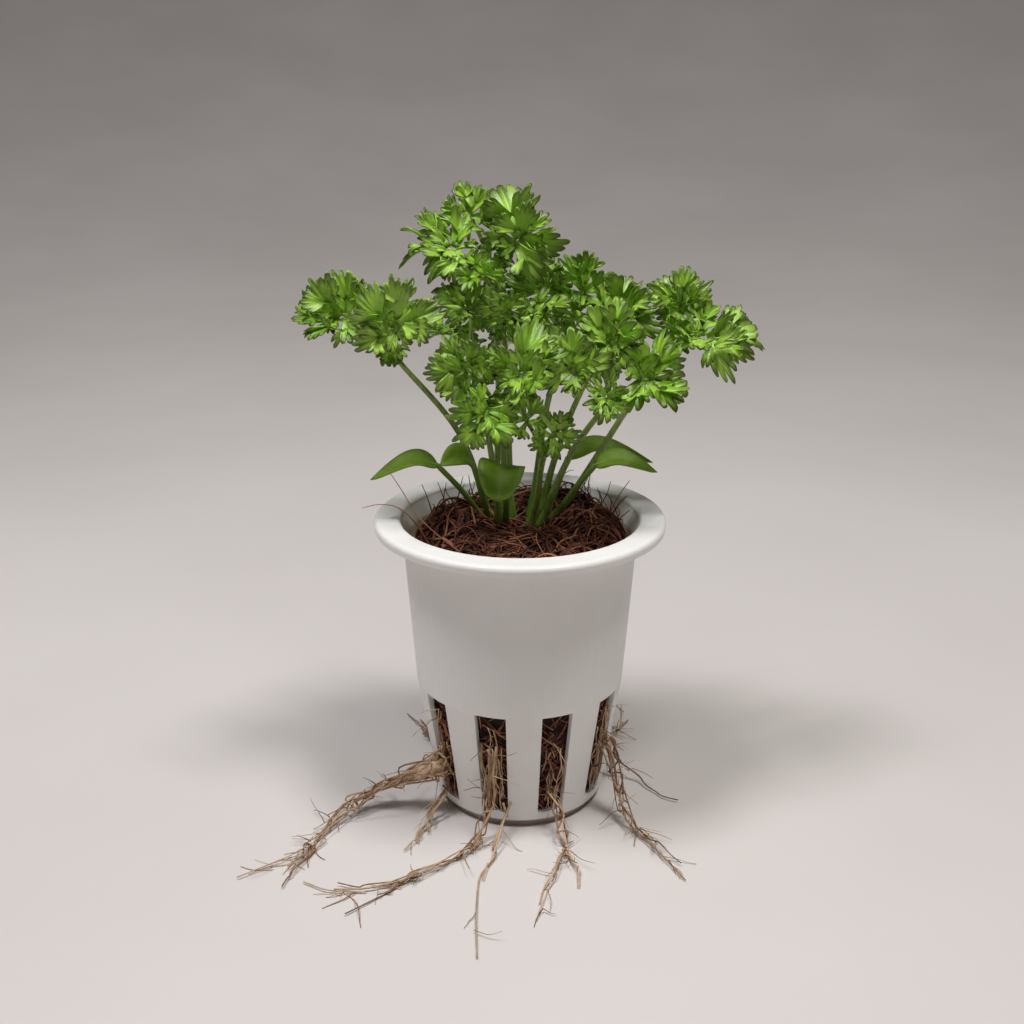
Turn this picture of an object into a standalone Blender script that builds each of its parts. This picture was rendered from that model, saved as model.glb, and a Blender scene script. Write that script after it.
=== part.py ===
"""A young curly parsley in a slotted net cup, with its roots growing out over the table.

Run with: blender --background --python part.py

Lengths are in metres, +Z is up, and the origin is the middle of the cup's underside, on the table.
The front is -Y. A "turn" is an angle in degrees round the cup, 0 at the front and positive towards +X.
"""

import math
from dataclasses import dataclass

import bmesh
import bpy
from mathutils import Matrix, Vector

MM = 0.001
GAP = 0.3 * MM  # clear space between solids that touch on the real plant
MERGE = 0.00001  # merge distance, small beside the thinnest wall

# Net cup
CUP_HEIGHT = 58.0 * MM
RIM_RADIUS = 27.5 * MM
RIM_EDGE = 1.9 * MM  # thickness of the rim at its outer edge
RIM_ROUND = 0.9 * MM  # radius of the rim's upper outer edge
MOUTH_RADIUS = 22.4 * MM
MOUTH_ROUND = 0.9 * MM
NECK_RADIUS = 22.3 * MM  # outside of the wall just under the rim
KNEE_RADIUS = 20.3 * MM  # outside of the wall where the slots start
KNEE_HEIGHT = 25.4 * MM
BASE_RADIUS = 16.8 * MM
FOOT_RADIUS = 15.9 * MM
FOOT_HEIGHT = 1.6 * MM
FLOOR_TOP = 2.9 * MM
WALL = 1.1 * MM
CUP_STEPS = 60
SLOT_COUNT = 10
SLOT_WIDTH_DEG = 17.0
FIRST_SLOT_TURN = 20.0
SLOT_BOTTOM = 3.3 * MM
DRAIN_COUNT = 5
DRAIN_RADIUS = 1.6 * MM
DRAIN_RING = 9.0 * MM

# Coir plug
PLUG_CLEARANCE = 0.4 * MM
PLUG_CROWN = CUP_HEIGHT - 2.4 * MM  # height of the plug's top at its middle
PLUG_STEPS = 40

# Crowns: the two points that the stalks grow from
CROWNS = {"left": Vector((-4.1, 5.6, 0)) * MM, "right": Vector((3.7, 4.6, 0)) * MM}
SEATS = 8  # stalks stand in a ring of this many places at each crown
SEAT_RING = 2.25 * MM
STALK_BASE_RADIUS = 0.72 * MM
STALK_TIP_RADIUS = 0.5 * MM
BRANCH_RADIUS = 0.38 * MM
STALK_POINTS = 9

# Leaf blades
BLADE_THICKNESS = 0.45 * MM
BLADE_COLUMNS = 24
BLADE_ROWS = 2
BLADE_CUP = 0.16  # how far the edge of a blade rises above its middle, as a share of its length
BLADE_WAVE = 0.05  # how far a lobe stands above the gap beside it, as a share of its length

# Roots
ROOT_TIP_RADIUS = 0.35 * MM

MATERIALS = {
    "cup": ((0.80, 0.79, 0.78), 0.42),
    "coir": ((0.13, 0.055, 0.035), 0.95),
    "stalk": ((0.22, 0.34, 0.07), 0.5),
    "leaf": ((0.10, 0.27, 0.03), 0.45),
    "seed_leaf": ((0.12, 0.25, 0.04), 0.5),
    "root": ((0.50, 0.36, 0.22), 0.75),
}


@dataclass
class Blade:
    """One leaflet. All vectors are in millimetres or are directions."""

    place: tuple  # where its stalk joins it
    heading: tuple  # the way its longest lobe points
    facing: tuple  # the way its upper side looks
    length: float


@dataclass
class Leaf:
    """One compound leaf: a stalk that forks at its tip, and the leaflets on the forks."""

    crown: str
    seat: float  # its place in the crown's ring, from 0 at +X and counting towards +Y
    tip: tuple
    bow: tuple  # how far the middle of the stalk stands off a straight line
    blades: tuple


@dataclass
class SeedLeaf:
    """One strap-shaped first leaf, in one piece with its stalk."""

    crown: str
    seat: float
    base: tuple  # where the stalk widens into the blade
    crest: tuple  # the highest point of the arching blade
    tip: tuple
    width: float
    facing: tuple


@dataclass
class Root:
    """One root, from where it leaves the plug to its tip, with its radius at the plug."""

    radius: float
    points: tuple


LEAVES = {
    "left": Leaf(
        "left", 3, (-22.4, -1.5, 88.0), (1.0, 0.5, 2.0),
        (
            Blade((-21.8, -4.8, 93.0), (0.1, 0.0, 1.0), (0.1, -1.0, 0.5), 9.2),
            Blade((-30.8, -0.4, 94.8), (-1.0, 0.0, -0.1), (-0.1, -0.8, 0.6), 9.4),
            Blade((-24.0, 4.2, 93.0), (0.1, 0.8, 0.5), (0.0, -0.3, 1.0), 7.5),
        ),
    ),
    "top": Leaf(
        "left", 1, (-4.4, 5.0, 101.5), (-0.5, 0.5, 0.0),
        (
            Blade((-11.4, 3.0, 106.4), (-1.0, -0.1, 0.1), (-0.3, -0.5, 0.9), 9.6),
            Blade((-9.0, 10.4, 111.4), (-0.3, 0.3, 0.9), (-0.1, -0.9, 0.4), 6.4),
            Blade((-0.8, 4.4, 107.0), (0.6, 0.0, 0.7), (0.4, -0.6, 0.7), 8.6),
            Blade((-6.4, -2.6, 102.4), (-0.6, -0.8, 0.1), (0.0, -0.4, 1.0), 6.0),
        ),
    ),
    "middle": Leaf(
        "left", 0, (-3.0, 1.6, 92.6), (0.3, 0.0, 0.0),
        (
            Blade((-8.4, 0.6, 96.4), (-1.0, -0.1, 0.2), (-0.2, -0.6, 0.8), 7.0),
            Blade((-2.4, -4.6, 95.6), (0.1, -0.5, 0.8), (0.0, -1.0, 0.5), 6.5),
            Blade((2.4, 0.4, 95.4), (1.0, 0.0, 0.3), (0.2, -0.6, 0.8), 6.0),
        ),
    ),
    "front": Leaf(
        "left", 6, (-4.4, -9.6, 82.2), (0.0, 0.5, 1.0),
        (
            Blade((-8.4, -9.6, 86.8), (-0.6, 0.0, 0.8), (-0.2, -1.0, 0.5), 8.6),
            Blade((-0.4, -12.4, 86.8), (0.8, -0.1, 0.5), (0.1, -1.0, 0.5), 8.5),
            Blade((-5.6, -15.4, 81.8), (-0.5, -0.2, -0.8), (-0.1, -1.0, 0.4), 7.0),
        ),
    ),
    "right": Leaf(
        "right", 3, (9.0, 8.4, 92.6), (-0.5, 0.0, 0.0),
        (
            Blade((4.4, 10.2, 97.6), (-0.6, 0.1, 0.8), (-0.1, -0.8, 0.6), 7.5),
            Blade((11.2, 8.6, 97.6), (0.3, 0.1, 0.95), (0.1, -0.9, 0.5), 7.5),
            Blade((16.4, 2.6, 94.2), (0.9, -0.1, 0.4), (0.2, -0.7, 0.7), 8.5),
        ),
    ),
    "front_right": Leaf(
        "right", 6, (15.4, -6.6, 81.0), (0.0, 0.5, 1.0),
        (
            Blade((9.6, -8.6, 86.6), (-0.8, 0.0, 0.6), (-0.1, -1.0, 0.5), 7.6),
            Blade((16.0, -5.0, 90.6), (0.1, 0.2, 1.0), (0.0, -1.0, 0.5), 8.0),
            Blade((20.8, -8.6, 85.6), (1.0, 0.0, -0.1), (0.1, -1.0, 0.5), 8.8),
            Blade((14.6, -12.4, 83.6), (-0.1, -0.2, -1.0), (0.0, -1.0, 0.4), 5.8),
        ),
    ),
    "far_right": Leaf(
        "right", 0, (27.0, 4.0, 89.6), (1.0, 0.0, -2.0),
        (
            Blade((29.6, 6.4, 94.8), (0.0, 0.2, 1.0), (0.1, -0.9, 0.5), 7.2),
            Blade((32.4, 2.2, 91.0), (0.9, -0.1, -0.4), (0.2, -0.8, 0.7), 8.8),
        ),
    ),
    "small": Leaf(
        "right", 5, (4.4, -4.4, 71.0), (0.3, 0.5, 0.0),
        (
            Blade((5.6, -7.0, 75.0), (0.6, -0.1, 0.7), (0.1, -1.0, 0.4), 5.6),
            Blade((1.2, -4.6, 77.0), (-0.4, 0.0, 0.9), (-0.1, -1.0, 0.5), 5.0),
        ),
    ),
    "back_left": Leaf(
        "left", 2, (-9.6, 14.6, 86.0), (0.0, -0.5, 2.0),
        (
            Blade((-12.4, 18.0, 88.0), (-0.6, 0.8, 0.2), (-0.3, 0.7, 0.7), 7.0),
            Blade((-9.0, 14.0, 94.8), (0.1, 0.2, 1.0), (0.0, 1.0, 0.3), 7.5),
            Blade((-3.2, 19.0, 87.4), (0.8, 0.6, 0.0), (0.2, 0.8, 0.6), 8.0),
        ),
    ),
    "back_right": Leaf(
        "right", 2, (14.0, 14.4, 82.4), (0.0, -0.5, 2.0),
        (
            Blade((18.2, 14.8, 86.4), (0.8, 0.3, 0.5), (0.3, 0.8, 0.6), 8.0),
            Blade((10.2, 18.2, 86.2), (-0.7, 0.6, 0.3), (-0.1, 0.9, 0.5), 8.0),
        ),
    ),
}

SEED_LEAVES = {
    "left": SeedLeaf(
        "left", 4, (-15.2, -1.8, 68.0), (-19.8, -3.0, 69.4), (-27.4, -4.4, 66.0), 4.8,
        (-0.1, -0.4, 1.0),
    ),
    "left_middle": SeedLeaf(
        "left", 5, (-8.6, -3.0, 68.6), (-10.8, -6.0, 71.0), (-14.2, -9.6, 70.4), 5.2,
        (0.3, -0.6, 0.9),
    ),
    "front": SeedLeaf(
        "left", 7, (-2.9, -8.4, 70.0), (-3.4, -12.0, 70.2), (-3.9, -15.8, 65.6), 7.8,
        (0.0, -0.8, 0.8),
    ),
    "right": SeedLeaf(
        "right", 1, (9.2, 7.8, 66.6), (15.4, 8.6, 69.0), (25.8, 8.0, 65.6), 4.6,
        (0.0, -0.4, 1.0),
    ),
    "front_right": SeedLeaf(
        "right", 7, (14.0, 0.2, 67.4), (18.4, -0.6, 69.0), (25.4, -1.6, 66.6), 4.4,
        (0.0, -0.5, 1.0),
    ),
}
ROOTS = {
    "left": Root(
        2.0,
        ((-13.9, -10.6, 11), (-17.5, -11, 9.5), (-24.5, -9.5, 6), (-31, -11, 3), (-36, -16, 1.6),
         (-38.5, -22.5, 1.0), (-43, -28.5, 0.8), (-50.5, -32.5, 0.6)),
    ),
    "left_fork": Root(
        0.5,
        ((-40.2, -27, 0.8), (-41, -31, 0.7), (-42, -35, 0.6)),
    ),
    "left_low": Root(
        0.7,
        ((-14.4, -11.8, 6), (-16.8, -14.4, 3), (-18.6, -17.2, 1.1), (-19.4, -20.8, 0.8), (-21.5, -24.5, 0.6)),
    ),
    "front_left": Root(
        1.1,
        ((-5.6, -18.6, 19), (-5.9, -19.4, 12), (-6.4, -20.2, 6), (-8, -22.6, 2), (-10.5, -26, 1.2),
         (-16, -31, 0.9), (-23, -35, 0.8), (-31, -36.5, 0.7), (-38.5, -33.5, 0.6)),
    ),
    "front_left_fork": Root(
        0.45,
        ((-24, -36.6, 0.8), (-27.5, -39, 0.7), (-30, -42, 0.6)),
    ),
    "front": Root(
        0.6,
        ((-2.8, -17.3, 6), (-3.4, -21, 2), (-5.4, -27, 0.8), (-7.4, -35, 0.7), (-7.8, -44, 0.6), (-7.2, -52.5, 0.5)),
    ),
    "front_right": Root(
        1.0,
        ((5.8, -16.6, 9), (7, -20, 4), (8.6, -24, 1.6), (7.6, -29, 1.1), (5, -34, 0.8), (4.6, -38.5, 0.7),
         (2.6, -43.5, 0.6)),
    ),
    "front_right_fork": Root(
        0.45,
        ((9.4, -26.8, 0.9), (10.6, -30.5, 0.7), (10.2, -35, 0.6)),
    ),
    "right": Root(
        1.2,
        ((15.8, -10.6, 16), (18, -12, 9.5), (19.6, -13.8, 4.5), (21, -17, 1.8), (24, -21.8, 1.1), (27, -28, 0.8),
         (29.4, -33, 0.6)),
    ),
    "right_side": Root(
        0.7,
        ((17.6, 0.8, 9), (21, 0.6, 4), (24.5, -1.5, 1.2), (28.5, -6.5, 0.8), (31.5, -8.5, 0.6)),
    ),
    "back_right": Root(
        0.9,
        ((13.8, 10.9, 10), (17.5, 14.2, 4.5), (21, 17.8, 1.4), (24, 23.5, 0.9), (24, 30, 0.6)),
    ),
    "back": Root(
        0.8,
        ((-5.4, 16.4, 8), (-6.8, 20.4, 3.2), (-8.4, 24.5, 1.2), (-7.4, 30, 0.8), (-10, 35.5, 0.6)),
    ),
    "back_left": Root(
        0.8,
        ((-14.6, 9.9, 9), (-17.8, 12.6, 4), (-20, 16, 1.2), (-21.5, 21.5, 0.8), (-25.5, 26, 0.6)),
    ),
}


def clear_scene():
    for obj in list(bpy.data.objects):
        bpy.data.objects.remove(obj)


def make_materials():
    made = {}
    for name, (colour, roughness) in MATERIALS.items():
        material = bpy.data.materials.new(name)
        material.use_nodes = True
        shader = material.node_tree.nodes["Principled BSDF"]
        shader.inputs["Base Color"].default_value = (*colour, 1.0)
        shader.inputs["Roughness"].default_value = roughness
        shader.inputs["Metallic"].default_value = 0.0
        material.diffuse_color = (*colour, 1.0)
        made[name] = material
    return made


def make_collection(name):
    collection = bpy.data.collections.new(name)
    bpy.context.scene.collection.children.link(collection)
    return collection


def add_object(name, data, collection, material=None):
    obj = bpy.data.objects.new(name, data)
    collection.objects.link(obj)
    if material:
        data.materials.append(material)
    return obj


def mesh_from(name, bm):
    mesh = bpy.data.meshes.new(name)
    bm.to_mesh(mesh)
    bm.free()
    return mesh


def around(turn, radius, height):
    """The point at this turn, distance from the axis and height."""
    angle = math.radians(turn)
    return Vector((radius * math.sin(angle), -radius * math.cos(angle), height))


def arc(centre_r, centre_z, radius, start_deg, end_deg, count):
    """Points of an arc in the (r, z) plane, angles from +r towards +z."""
    points = []
    for i in range(count + 1):
        angle = math.radians(start_deg + (end_deg - start_deg) * i / count)
        points.append((centre_r + radius * math.cos(angle), centre_z + radius * math.sin(angle)))
    return points


def turned(name, profile, steps, collection, material):
    """A solid of revolution. The profile runs from the axis, over the top and down the outside, to the axis."""
    bm = bmesh.new()
    corners = [bm.verts.new((r, 0, z)) for r, z in profile]
    for first, second in zip(corners, corners[1:]):
        bm.edges.new((first, second))
    obj = add_object(name, mesh_from(name, bm), collection, material)
    screw = obj.modifiers.new("Turn", "SCREW")
    screw.axis = "Z"
    screw.steps = steps
    screw.render_steps = steps
    screw.use_merge_vertices = True
    screw.merge_threshold = MERGE
    screw.use_smooth_shade = True
    return obj


def smooth_route(points, count):
    """count + 1 points, evenly placed by parameter on a Catmull-Rom curve through the points given."""
    ends = [points[0] * 2 - points[1], *points, points[-1] * 2 - points[-2]]
    spans = len(points) - 1
    route = []
    for i in range(count + 1):
        at = i / count * spans
        span = min(int(at), spans - 1)
        t = at - span
        a, b, c, d = ends[span : span + 4]
        route.append(
            (b * 2 + (c - a) * t + (a * 2 - b * 5 + c * 4 - d) * t**2 + (b * 3 - a - c * 3 + d) * t**3) / 2
        )
    return route


def tube(name, route, radii, collection, material):
    """A round tube of changing radius along the route, with filled ends."""
    curve = bpy.data.curves.new(name, "CURVE")
    curve.dimensions = "3D"
    curve.bevel_depth = 1.0
    curve.bevel_resolution = 1
    curve.use_fill_caps = True
    spline = curve.splines.new("POLY")
    spline.points.add(len(route) - 1)
    for point, place, radius in zip(spline.points, route, radii):
        point.co = (*place, 1.0)
        point.radius = radius
    return add_object(name, curve, collection, material)


def as_mesh(obj):
    """Turns a tube into a mesh object with welded caps, so that a Boolean can join it."""
    graph = bpy.context.evaluated_depsgraph_get()
    mesh = bpy.data.meshes.new_from_object(obj.evaluated_get(graph))
    bm = bmesh.new()
    bm.from_mesh(mesh)
    bmesh.ops.remove_doubles(bm, verts=bm.verts, dist=MERGE)
    bmesh.ops.recalc_face_normals(bm, faces=bm.faces)
    bm.to_mesh(mesh)
    bm.free()
    name = obj.name
    solid = bpy.data.objects.new(name, mesh)
    for collection in obj.users_collection:
        collection.objects.link(solid)
    solid.matrix_world = obj.matrix_world
    bpy.data.objects.remove(obj)
    solid.name = name
    return solid


def hide_helper(obj):
    obj.hide_render = True
    obj.display_type = "WIRE"


def boolean(obj, other, operation):
    modifier = obj.modifiers.new(operation.title(), "BOOLEAN")
    modifier.operation = operation
    modifier.solver = "EXACT"
    modifier.object = other


def sheet(name, columns, rows, place, thickness, collection, material):
    """A thin solid from a grid: place(u, v) gives the point for u from -1 to 1 and v from 0 to 1."""
    bm = bmesh.new()
    bmesh.ops.create_grid(bm, x_segments=columns, y_segments=rows, size=1)
    for vertex in bm.verts:
        vertex.co = place(vertex.co.x, (vertex.co.y + 1) / 2)
    bmesh.ops.remove_doubles(bm, verts=bm.verts, dist=MERGE)
    obj = add_object(name, mesh_from(name, bm), collection, material)
    solidify = obj.modifiers.new("Thickness", "SOLIDIFY")
    solidify.thickness = thickness
    solidify.offset = 0
    return obj


def wall_radius(height):
    """Outside radius of the cup's wall at this height."""
    if height < KNEE_HEIGHT:
        share = (height - FOOT_HEIGHT) / (KNEE_HEIGHT - FOOT_HEIGHT)
        return BASE_RADIUS + (KNEE_RADIUS - BASE_RADIUS) * share
    share = (height - KNEE_HEIGHT) / (CUP_HEIGHT - RIM_EDGE - KNEE_HEIGHT)
    return KNEE_RADIUS + (NECK_RADIUS - KNEE_RADIUS) * share


def cup_profile():
    mouth_height = CUP_HEIGHT - RIM_EDGE
    mouth = arc(MOUTH_RADIUS + MOUTH_ROUND, CUP_HEIGHT - MOUTH_ROUND, MOUTH_ROUND, 180, 90, 4)
    edge = arc(RIM_RADIUS - RIM_ROUND, CUP_HEIGHT - RIM_ROUND, RIM_ROUND, 90, 0, 5)
    return [
        (0, FLOOR_TOP),
        (wall_radius(FLOOR_TOP) - WALL, FLOOR_TOP),
        (KNEE_RADIUS - WALL, KNEE_HEIGHT),
        (NECK_RADIUS - WALL, mouth_height - 2 * MM),
        *mouth,
        *edge,
        (RIM_RADIUS - 0.2 * MM, mouth_height),
        (NECK_RADIUS, mouth_height),
        (KNEE_RADIUS, KNEE_HEIGHT),
        (BASE_RADIUS, FOOT_HEIGHT),
        (FOOT_RADIUS, FOOT_HEIGHT),
        (FOOT_RADIUS, 0),
        (0, 0),
    ]


def slot_turns():
    return [FIRST_SLOT_TURN + 360 / SLOT_COUNT * i for i in range(SLOT_COUNT)]


def cup_cutter(collection):
    """The side slots, as wedges that narrow towards the axis, and the drain holes in the floor."""
    bm = bmesh.new()
    inner = 12 * MM
    outer = 24 * MM
    spread = math.tan(math.radians(SLOT_WIDTH_DEG / 2))
    for turn in slot_turns():
        wedge = bmesh.ops.create_cube(bm, size=1)["verts"]
        for vertex in wedge:
            radius = outer if vertex.co.y < 0 else inner
            height = KNEE_HEIGHT if vertex.co.z > 0 else SLOT_BOTTOM
            side = math.copysign(radius * spread, vertex.co.x)
            vertex.co = (side, -radius, height)
        bmesh.ops.rotate(bm, verts=wedge, matrix=Matrix.Rotation(math.radians(turn), 3, "Z"))
    for i in range(DRAIN_COUNT):
        hole = bmesh.ops.create_cone(
            bm, cap_ends=True, segments=12, radius1=DRAIN_RADIUS, radius2=DRAIN_RADIUS, depth=4 * FLOOR_TOP
        )["verts"]
        bmesh.ops.translate(bm, verts=hole, vec=around(360 / DRAIN_COUNT * i, DRAIN_RING, 0))
    bmesh.ops.recalc_face_normals(bm, faces=bm.faces)
    cutter = add_object("cup_cutter", mesh_from("cup_cutter", bm), collection)
    hide_helper(cutter)
    return cutter


def make_cup(parts, cutters, materials):
    cup = turned("net_cup", cup_profile(), CUP_STEPS, parts, materials["cup"])
    boolean(cup, cup_cutter(cutters), "DIFFERENCE")


def make_plug(parts, materials):
    """The pressed coir plug: it fills the cup, with a rounded shoulder under the rim."""
    side = PLUG_CLEARANCE + WALL
    shoulder = CUP_HEIGHT - 8 * MM
    top_radius = 13 * MM
    edge_radius = wall_radius(shoulder) - side
    bottom = FLOOR_TOP + GAP
    profile = [(0, PLUG_CROWN), (top_radius * 0.7, PLUG_CROWN)]
    for i in range(6):
        angle = math.radians(90 * i / 5)
        profile.append(
            (
                top_radius + (edge_radius - top_radius) * math.sin(angle),
                shoulder + (PLUG_CROWN - 0.5 * MM - shoulder) * math.cos(angle),
            )
        )
    profile += [
        (wall_radius(KNEE_HEIGHT) - side, KNEE_HEIGHT),
        (wall_radius(bottom) - side, bottom),
        (0, bottom),
    ]
    turned("coir_plug", profile, PLUG_STEPS, parts, materials["coir"])


def seat_place(crown, seat):
    angle = 2 * math.pi * seat / SEATS
    ring = Vector((math.cos(angle), math.sin(angle), 0)) * SEAT_RING
    return CROWNS[crown] + ring + Vector((0, 0, PLUG_CROWN + GAP))


def directions(heading, facing):
    """Unit vectors along a blade, across it and out of its upper side."""
    along = Vector(heading).normalized()
    up = Vector(facing)
    up = (up - along * up.dot(along)).normalized()
    return along, up.cross(along), up


def blade_shape(length):
    """The place function of a cupped leaflet with five lobes round its middle, flat on its XY plane."""

    def place(u, v):
        angle = math.pi * u
        reach = 0.45 + 0.55 * max(math.cos(angle / 2), 0.0) ** 1.3
        lobe = 0.52 + 0.48 * math.sqrt(abs(math.cos(3 * angle)))
        radius = length * v * reach * (lobe if v > 0.5 else 0.5 + lobe / 2)
        height = length * v * v * (BLADE_CUP + BLADE_WAVE * math.cos(6 * angle))
        return Vector((radius * math.cos(angle), radius * math.sin(angle), height))

    return place


def make_leaf(name, leaf, parts, helpers, materials):
    base = seat_place(leaf.crown, leaf.seat)
    tip = Vector(leaf.tip) * MM
    lean = tip - base
    middle = base + Vector((lean.x * 0.42, lean.y * 0.42, lean.z * 0.5)) + Vector(leaf.bow) * MM
    route = smooth_route([base, middle, tip], STALK_POINTS)
    radii = [
        STALK_BASE_RADIUS + (STALK_TIP_RADIUS - STALK_BASE_RADIUS) * i / STALK_POINTS
        for i in range(STALK_POINTS + 1)
    ]
    stalk = as_mesh(tube(f"leaf_{name}_stalk", route, radii, parts, materials["stalk"]))
    for number, blade in enumerate(leaf.blades, 1):
        place = Vector(blade.place) * MM
        along, across, up = directions(blade.heading, blade.facing)
        back = place - up * (BLADE_THICKNESS / 2 + GAP)
        start = tip - lean.normalized() * 0.4 * MM
        bend = (start + back) / 2 - up * 0.15 * (back - start).length
        branch_route = smooth_route([start, bend, back], 4)
        branch_name = f"leaf_{name}_branch_{number}"
        branch = as_mesh(tube(branch_name, branch_route, [BRANCH_RADIUS] * 5, helpers, materials["stalk"]))
        hide_helper(branch)
        boolean(stalk, branch, "UNION")
        obj = sheet(
            f"leaf_{name}_leaflet_{number}", BLADE_COLUMNS, BLADE_ROWS, blade_shape(blade.length * MM),
            BLADE_THICKNESS, parts, materials["leaf"],
        )
        obj.matrix_world = Matrix.Translation(place) @ Matrix((along, across, up)).transposed().to_4x4()


def make_seed_leaf(name, leaf, parts, materials):
    """A strap along its stalk and blade: narrow from the crown to the base, then lens-shaped to the tip."""
    start = seat_place(leaf.crown, leaf.seat)
    base, crest, tip = (Vector(point) * MM for point in (leaf.base, leaf.crest, leaf.tip))
    stalk_rows = 5
    blade_rows = 7
    rows = stalk_rows + blade_rows
    stalk_bow = (start + base) / 2 + Vector((0, 0, 0.6 * MM))
    stalk_route = smooth_route([start, stalk_bow, base], stalk_rows)
    blade_route = smooth_route([base, crest, tip], blade_rows)
    route = [*stalk_route, *blade_route[1:]]
    half_stalk = 0.55 * MM
    half_blade = leaf.width / 2 * MM

    def place(u, v):
        row = round(v * rows)
        before = route[max(row - 1, 0)]
        after = route[min(row + 1, rows)]
        _, across, up = directions(after - before, leaf.facing)
        share = max(row - stalk_rows, 0) / blade_rows
        half = half_stalk + (half_blade - half_stalk) * math.sin(math.pi * share**0.8) ** 0.8
        if row == rows:
            half = 0.35 * MM
        fold = 0.12 * half * u * u
        return route[row] + across * (half * u) + up * fold

    sheet(f"seed_leaf_{name}", 4, rows, place, 0.6 * MM, parts, materials["seed_leaf"])


def make_root(name, root, parts, materials):
    points = [Vector(point) * MM for point in root.points]
    count = 2 * (len(points) - 1)
    route = smooth_route(points, count)
    start = root.radius * MM
    radii = [ROOT_TIP_RADIUS + (start - ROOT_TIP_RADIUS) * (1 - i / count) ** 1.5 for i in range(count + 1)]
    for place, radius in zip(route, radii):
        place.z = max(place.z, radius + 0.1 * MM)
    tube(f"root_{name}", route, radii, parts, materials["root"])


def main():
    clear_scene()
    materials = make_materials()
    parts = make_collection("potted_parsley")
    helpers = make_collection("cutters")
    make_cup(parts, helpers, materials)
    make_plug(parts, materials)
    for name, leaf in LEAVES.items():
        make_leaf(name, leaf, parts, helpers, materials)
    for name, leaf in SEED_LEAVES.items():
        make_seed_leaf(name, leaf, parts, materials)
    for name, root in ROOTS.items():
        make_root(name, root, parts, materials)


main()
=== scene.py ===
"""The looks of the potted parsley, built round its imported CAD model.

Lengths are in metres, +Z is up and the front is -Y. Places come from the CAD plan: the leaf, seed leaf
and root tables are the ones in the part's source, in millimetres. A "turn" is an angle in degrees round
the cup, 0 at the front and positive towards +X. All random sequences have fixed seeds, so the result
is the same on every run.
"""

import math
from dataclasses import dataclass

import bpy
import numpy as np
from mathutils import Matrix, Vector


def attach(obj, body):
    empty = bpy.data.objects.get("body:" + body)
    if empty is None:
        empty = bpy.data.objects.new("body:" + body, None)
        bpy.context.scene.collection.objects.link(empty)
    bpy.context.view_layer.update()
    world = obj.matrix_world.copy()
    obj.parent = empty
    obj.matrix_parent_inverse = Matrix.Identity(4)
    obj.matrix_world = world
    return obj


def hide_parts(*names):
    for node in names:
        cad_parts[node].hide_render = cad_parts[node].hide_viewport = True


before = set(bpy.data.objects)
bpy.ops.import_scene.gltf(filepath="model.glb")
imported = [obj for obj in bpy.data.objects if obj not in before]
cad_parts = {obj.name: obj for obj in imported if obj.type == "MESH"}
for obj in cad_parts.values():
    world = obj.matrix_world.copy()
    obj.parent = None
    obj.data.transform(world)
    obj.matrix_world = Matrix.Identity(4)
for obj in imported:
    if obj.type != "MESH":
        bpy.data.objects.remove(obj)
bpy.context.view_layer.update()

MM = 0.001

# Camera
CAMERA_PLACE = (-1.5 * MM, -197.3 * MM, 126.5 * MM)
CAMERA_PITCH_DEG = 19.07
CAMERA_LENS_MM = 38.85
SENSOR_MM = 36.0

# The CAD plan's sizes
CUP_HEIGHT = 58.0 * MM
NECK_RADIUS = 22.3 * MM  # outside of the wall just under the rim
KNEE_RADIUS = 20.3 * MM  # outside of the wall where the slots start
KNEE_HEIGHT = 25.4 * MM
BASE_RADIUS = 16.8 * MM
FOOT_HEIGHT = 1.6 * MM
RIM_EDGE = 1.9 * MM
WALL = 1.1 * MM
SLOT_COUNT = 10
SLOT_STEP_DEG = 360 / SLOT_COUNT
SLOT_WIDTH_DEG = 17.0
FIRST_SLOT_TURN = 20.0
PLUG_CROWN = CUP_HEIGHT - 2.4 * MM
CROWNS = {"left": (-4.1, 5.6), "right": (3.7, 4.6)}  # middles of the two seedlings, in millimetres
SEATS = 8  # places for stalks round each of them
SEAT_RING = 2.25 * MM  # radius of that ring
STALK_DEPTH = 1.5 * MM  # how far a stalk's foot goes into the coir


@dataclass
class Blade:
    """One leaflet. All vectors are in millimetres or are directions."""

    place: tuple  # where its stalk joins it
    heading: tuple  # the way its longest lobe points
    facing: tuple  # the way its upper side looks
    length: float


@dataclass
class Leaf:
    """One compound leaf: a stalk that forks at its tip, and the leaflets on the forks."""

    crown: str
    seat: float  # its place in the crown's ring, from 0 at +X and counting towards +Y
    tip: tuple
    bow: tuple  # how far the middle of the stalk stands off a straight line
    blades: tuple


@dataclass
class SeedLeaf:
    """One strap-shaped first leaf, in one piece with its stalk."""

    crown: str
    seat: float
    base: tuple  # where the stalk widens into the blade
    crest: tuple  # the highest point of the arching blade
    tip: tuple
    width: float
    facing: tuple


@dataclass
class Root:
    """One root, from where it leaves the plug to its tip, with its radius at the plug."""

    radius: float
    points: tuple


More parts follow.
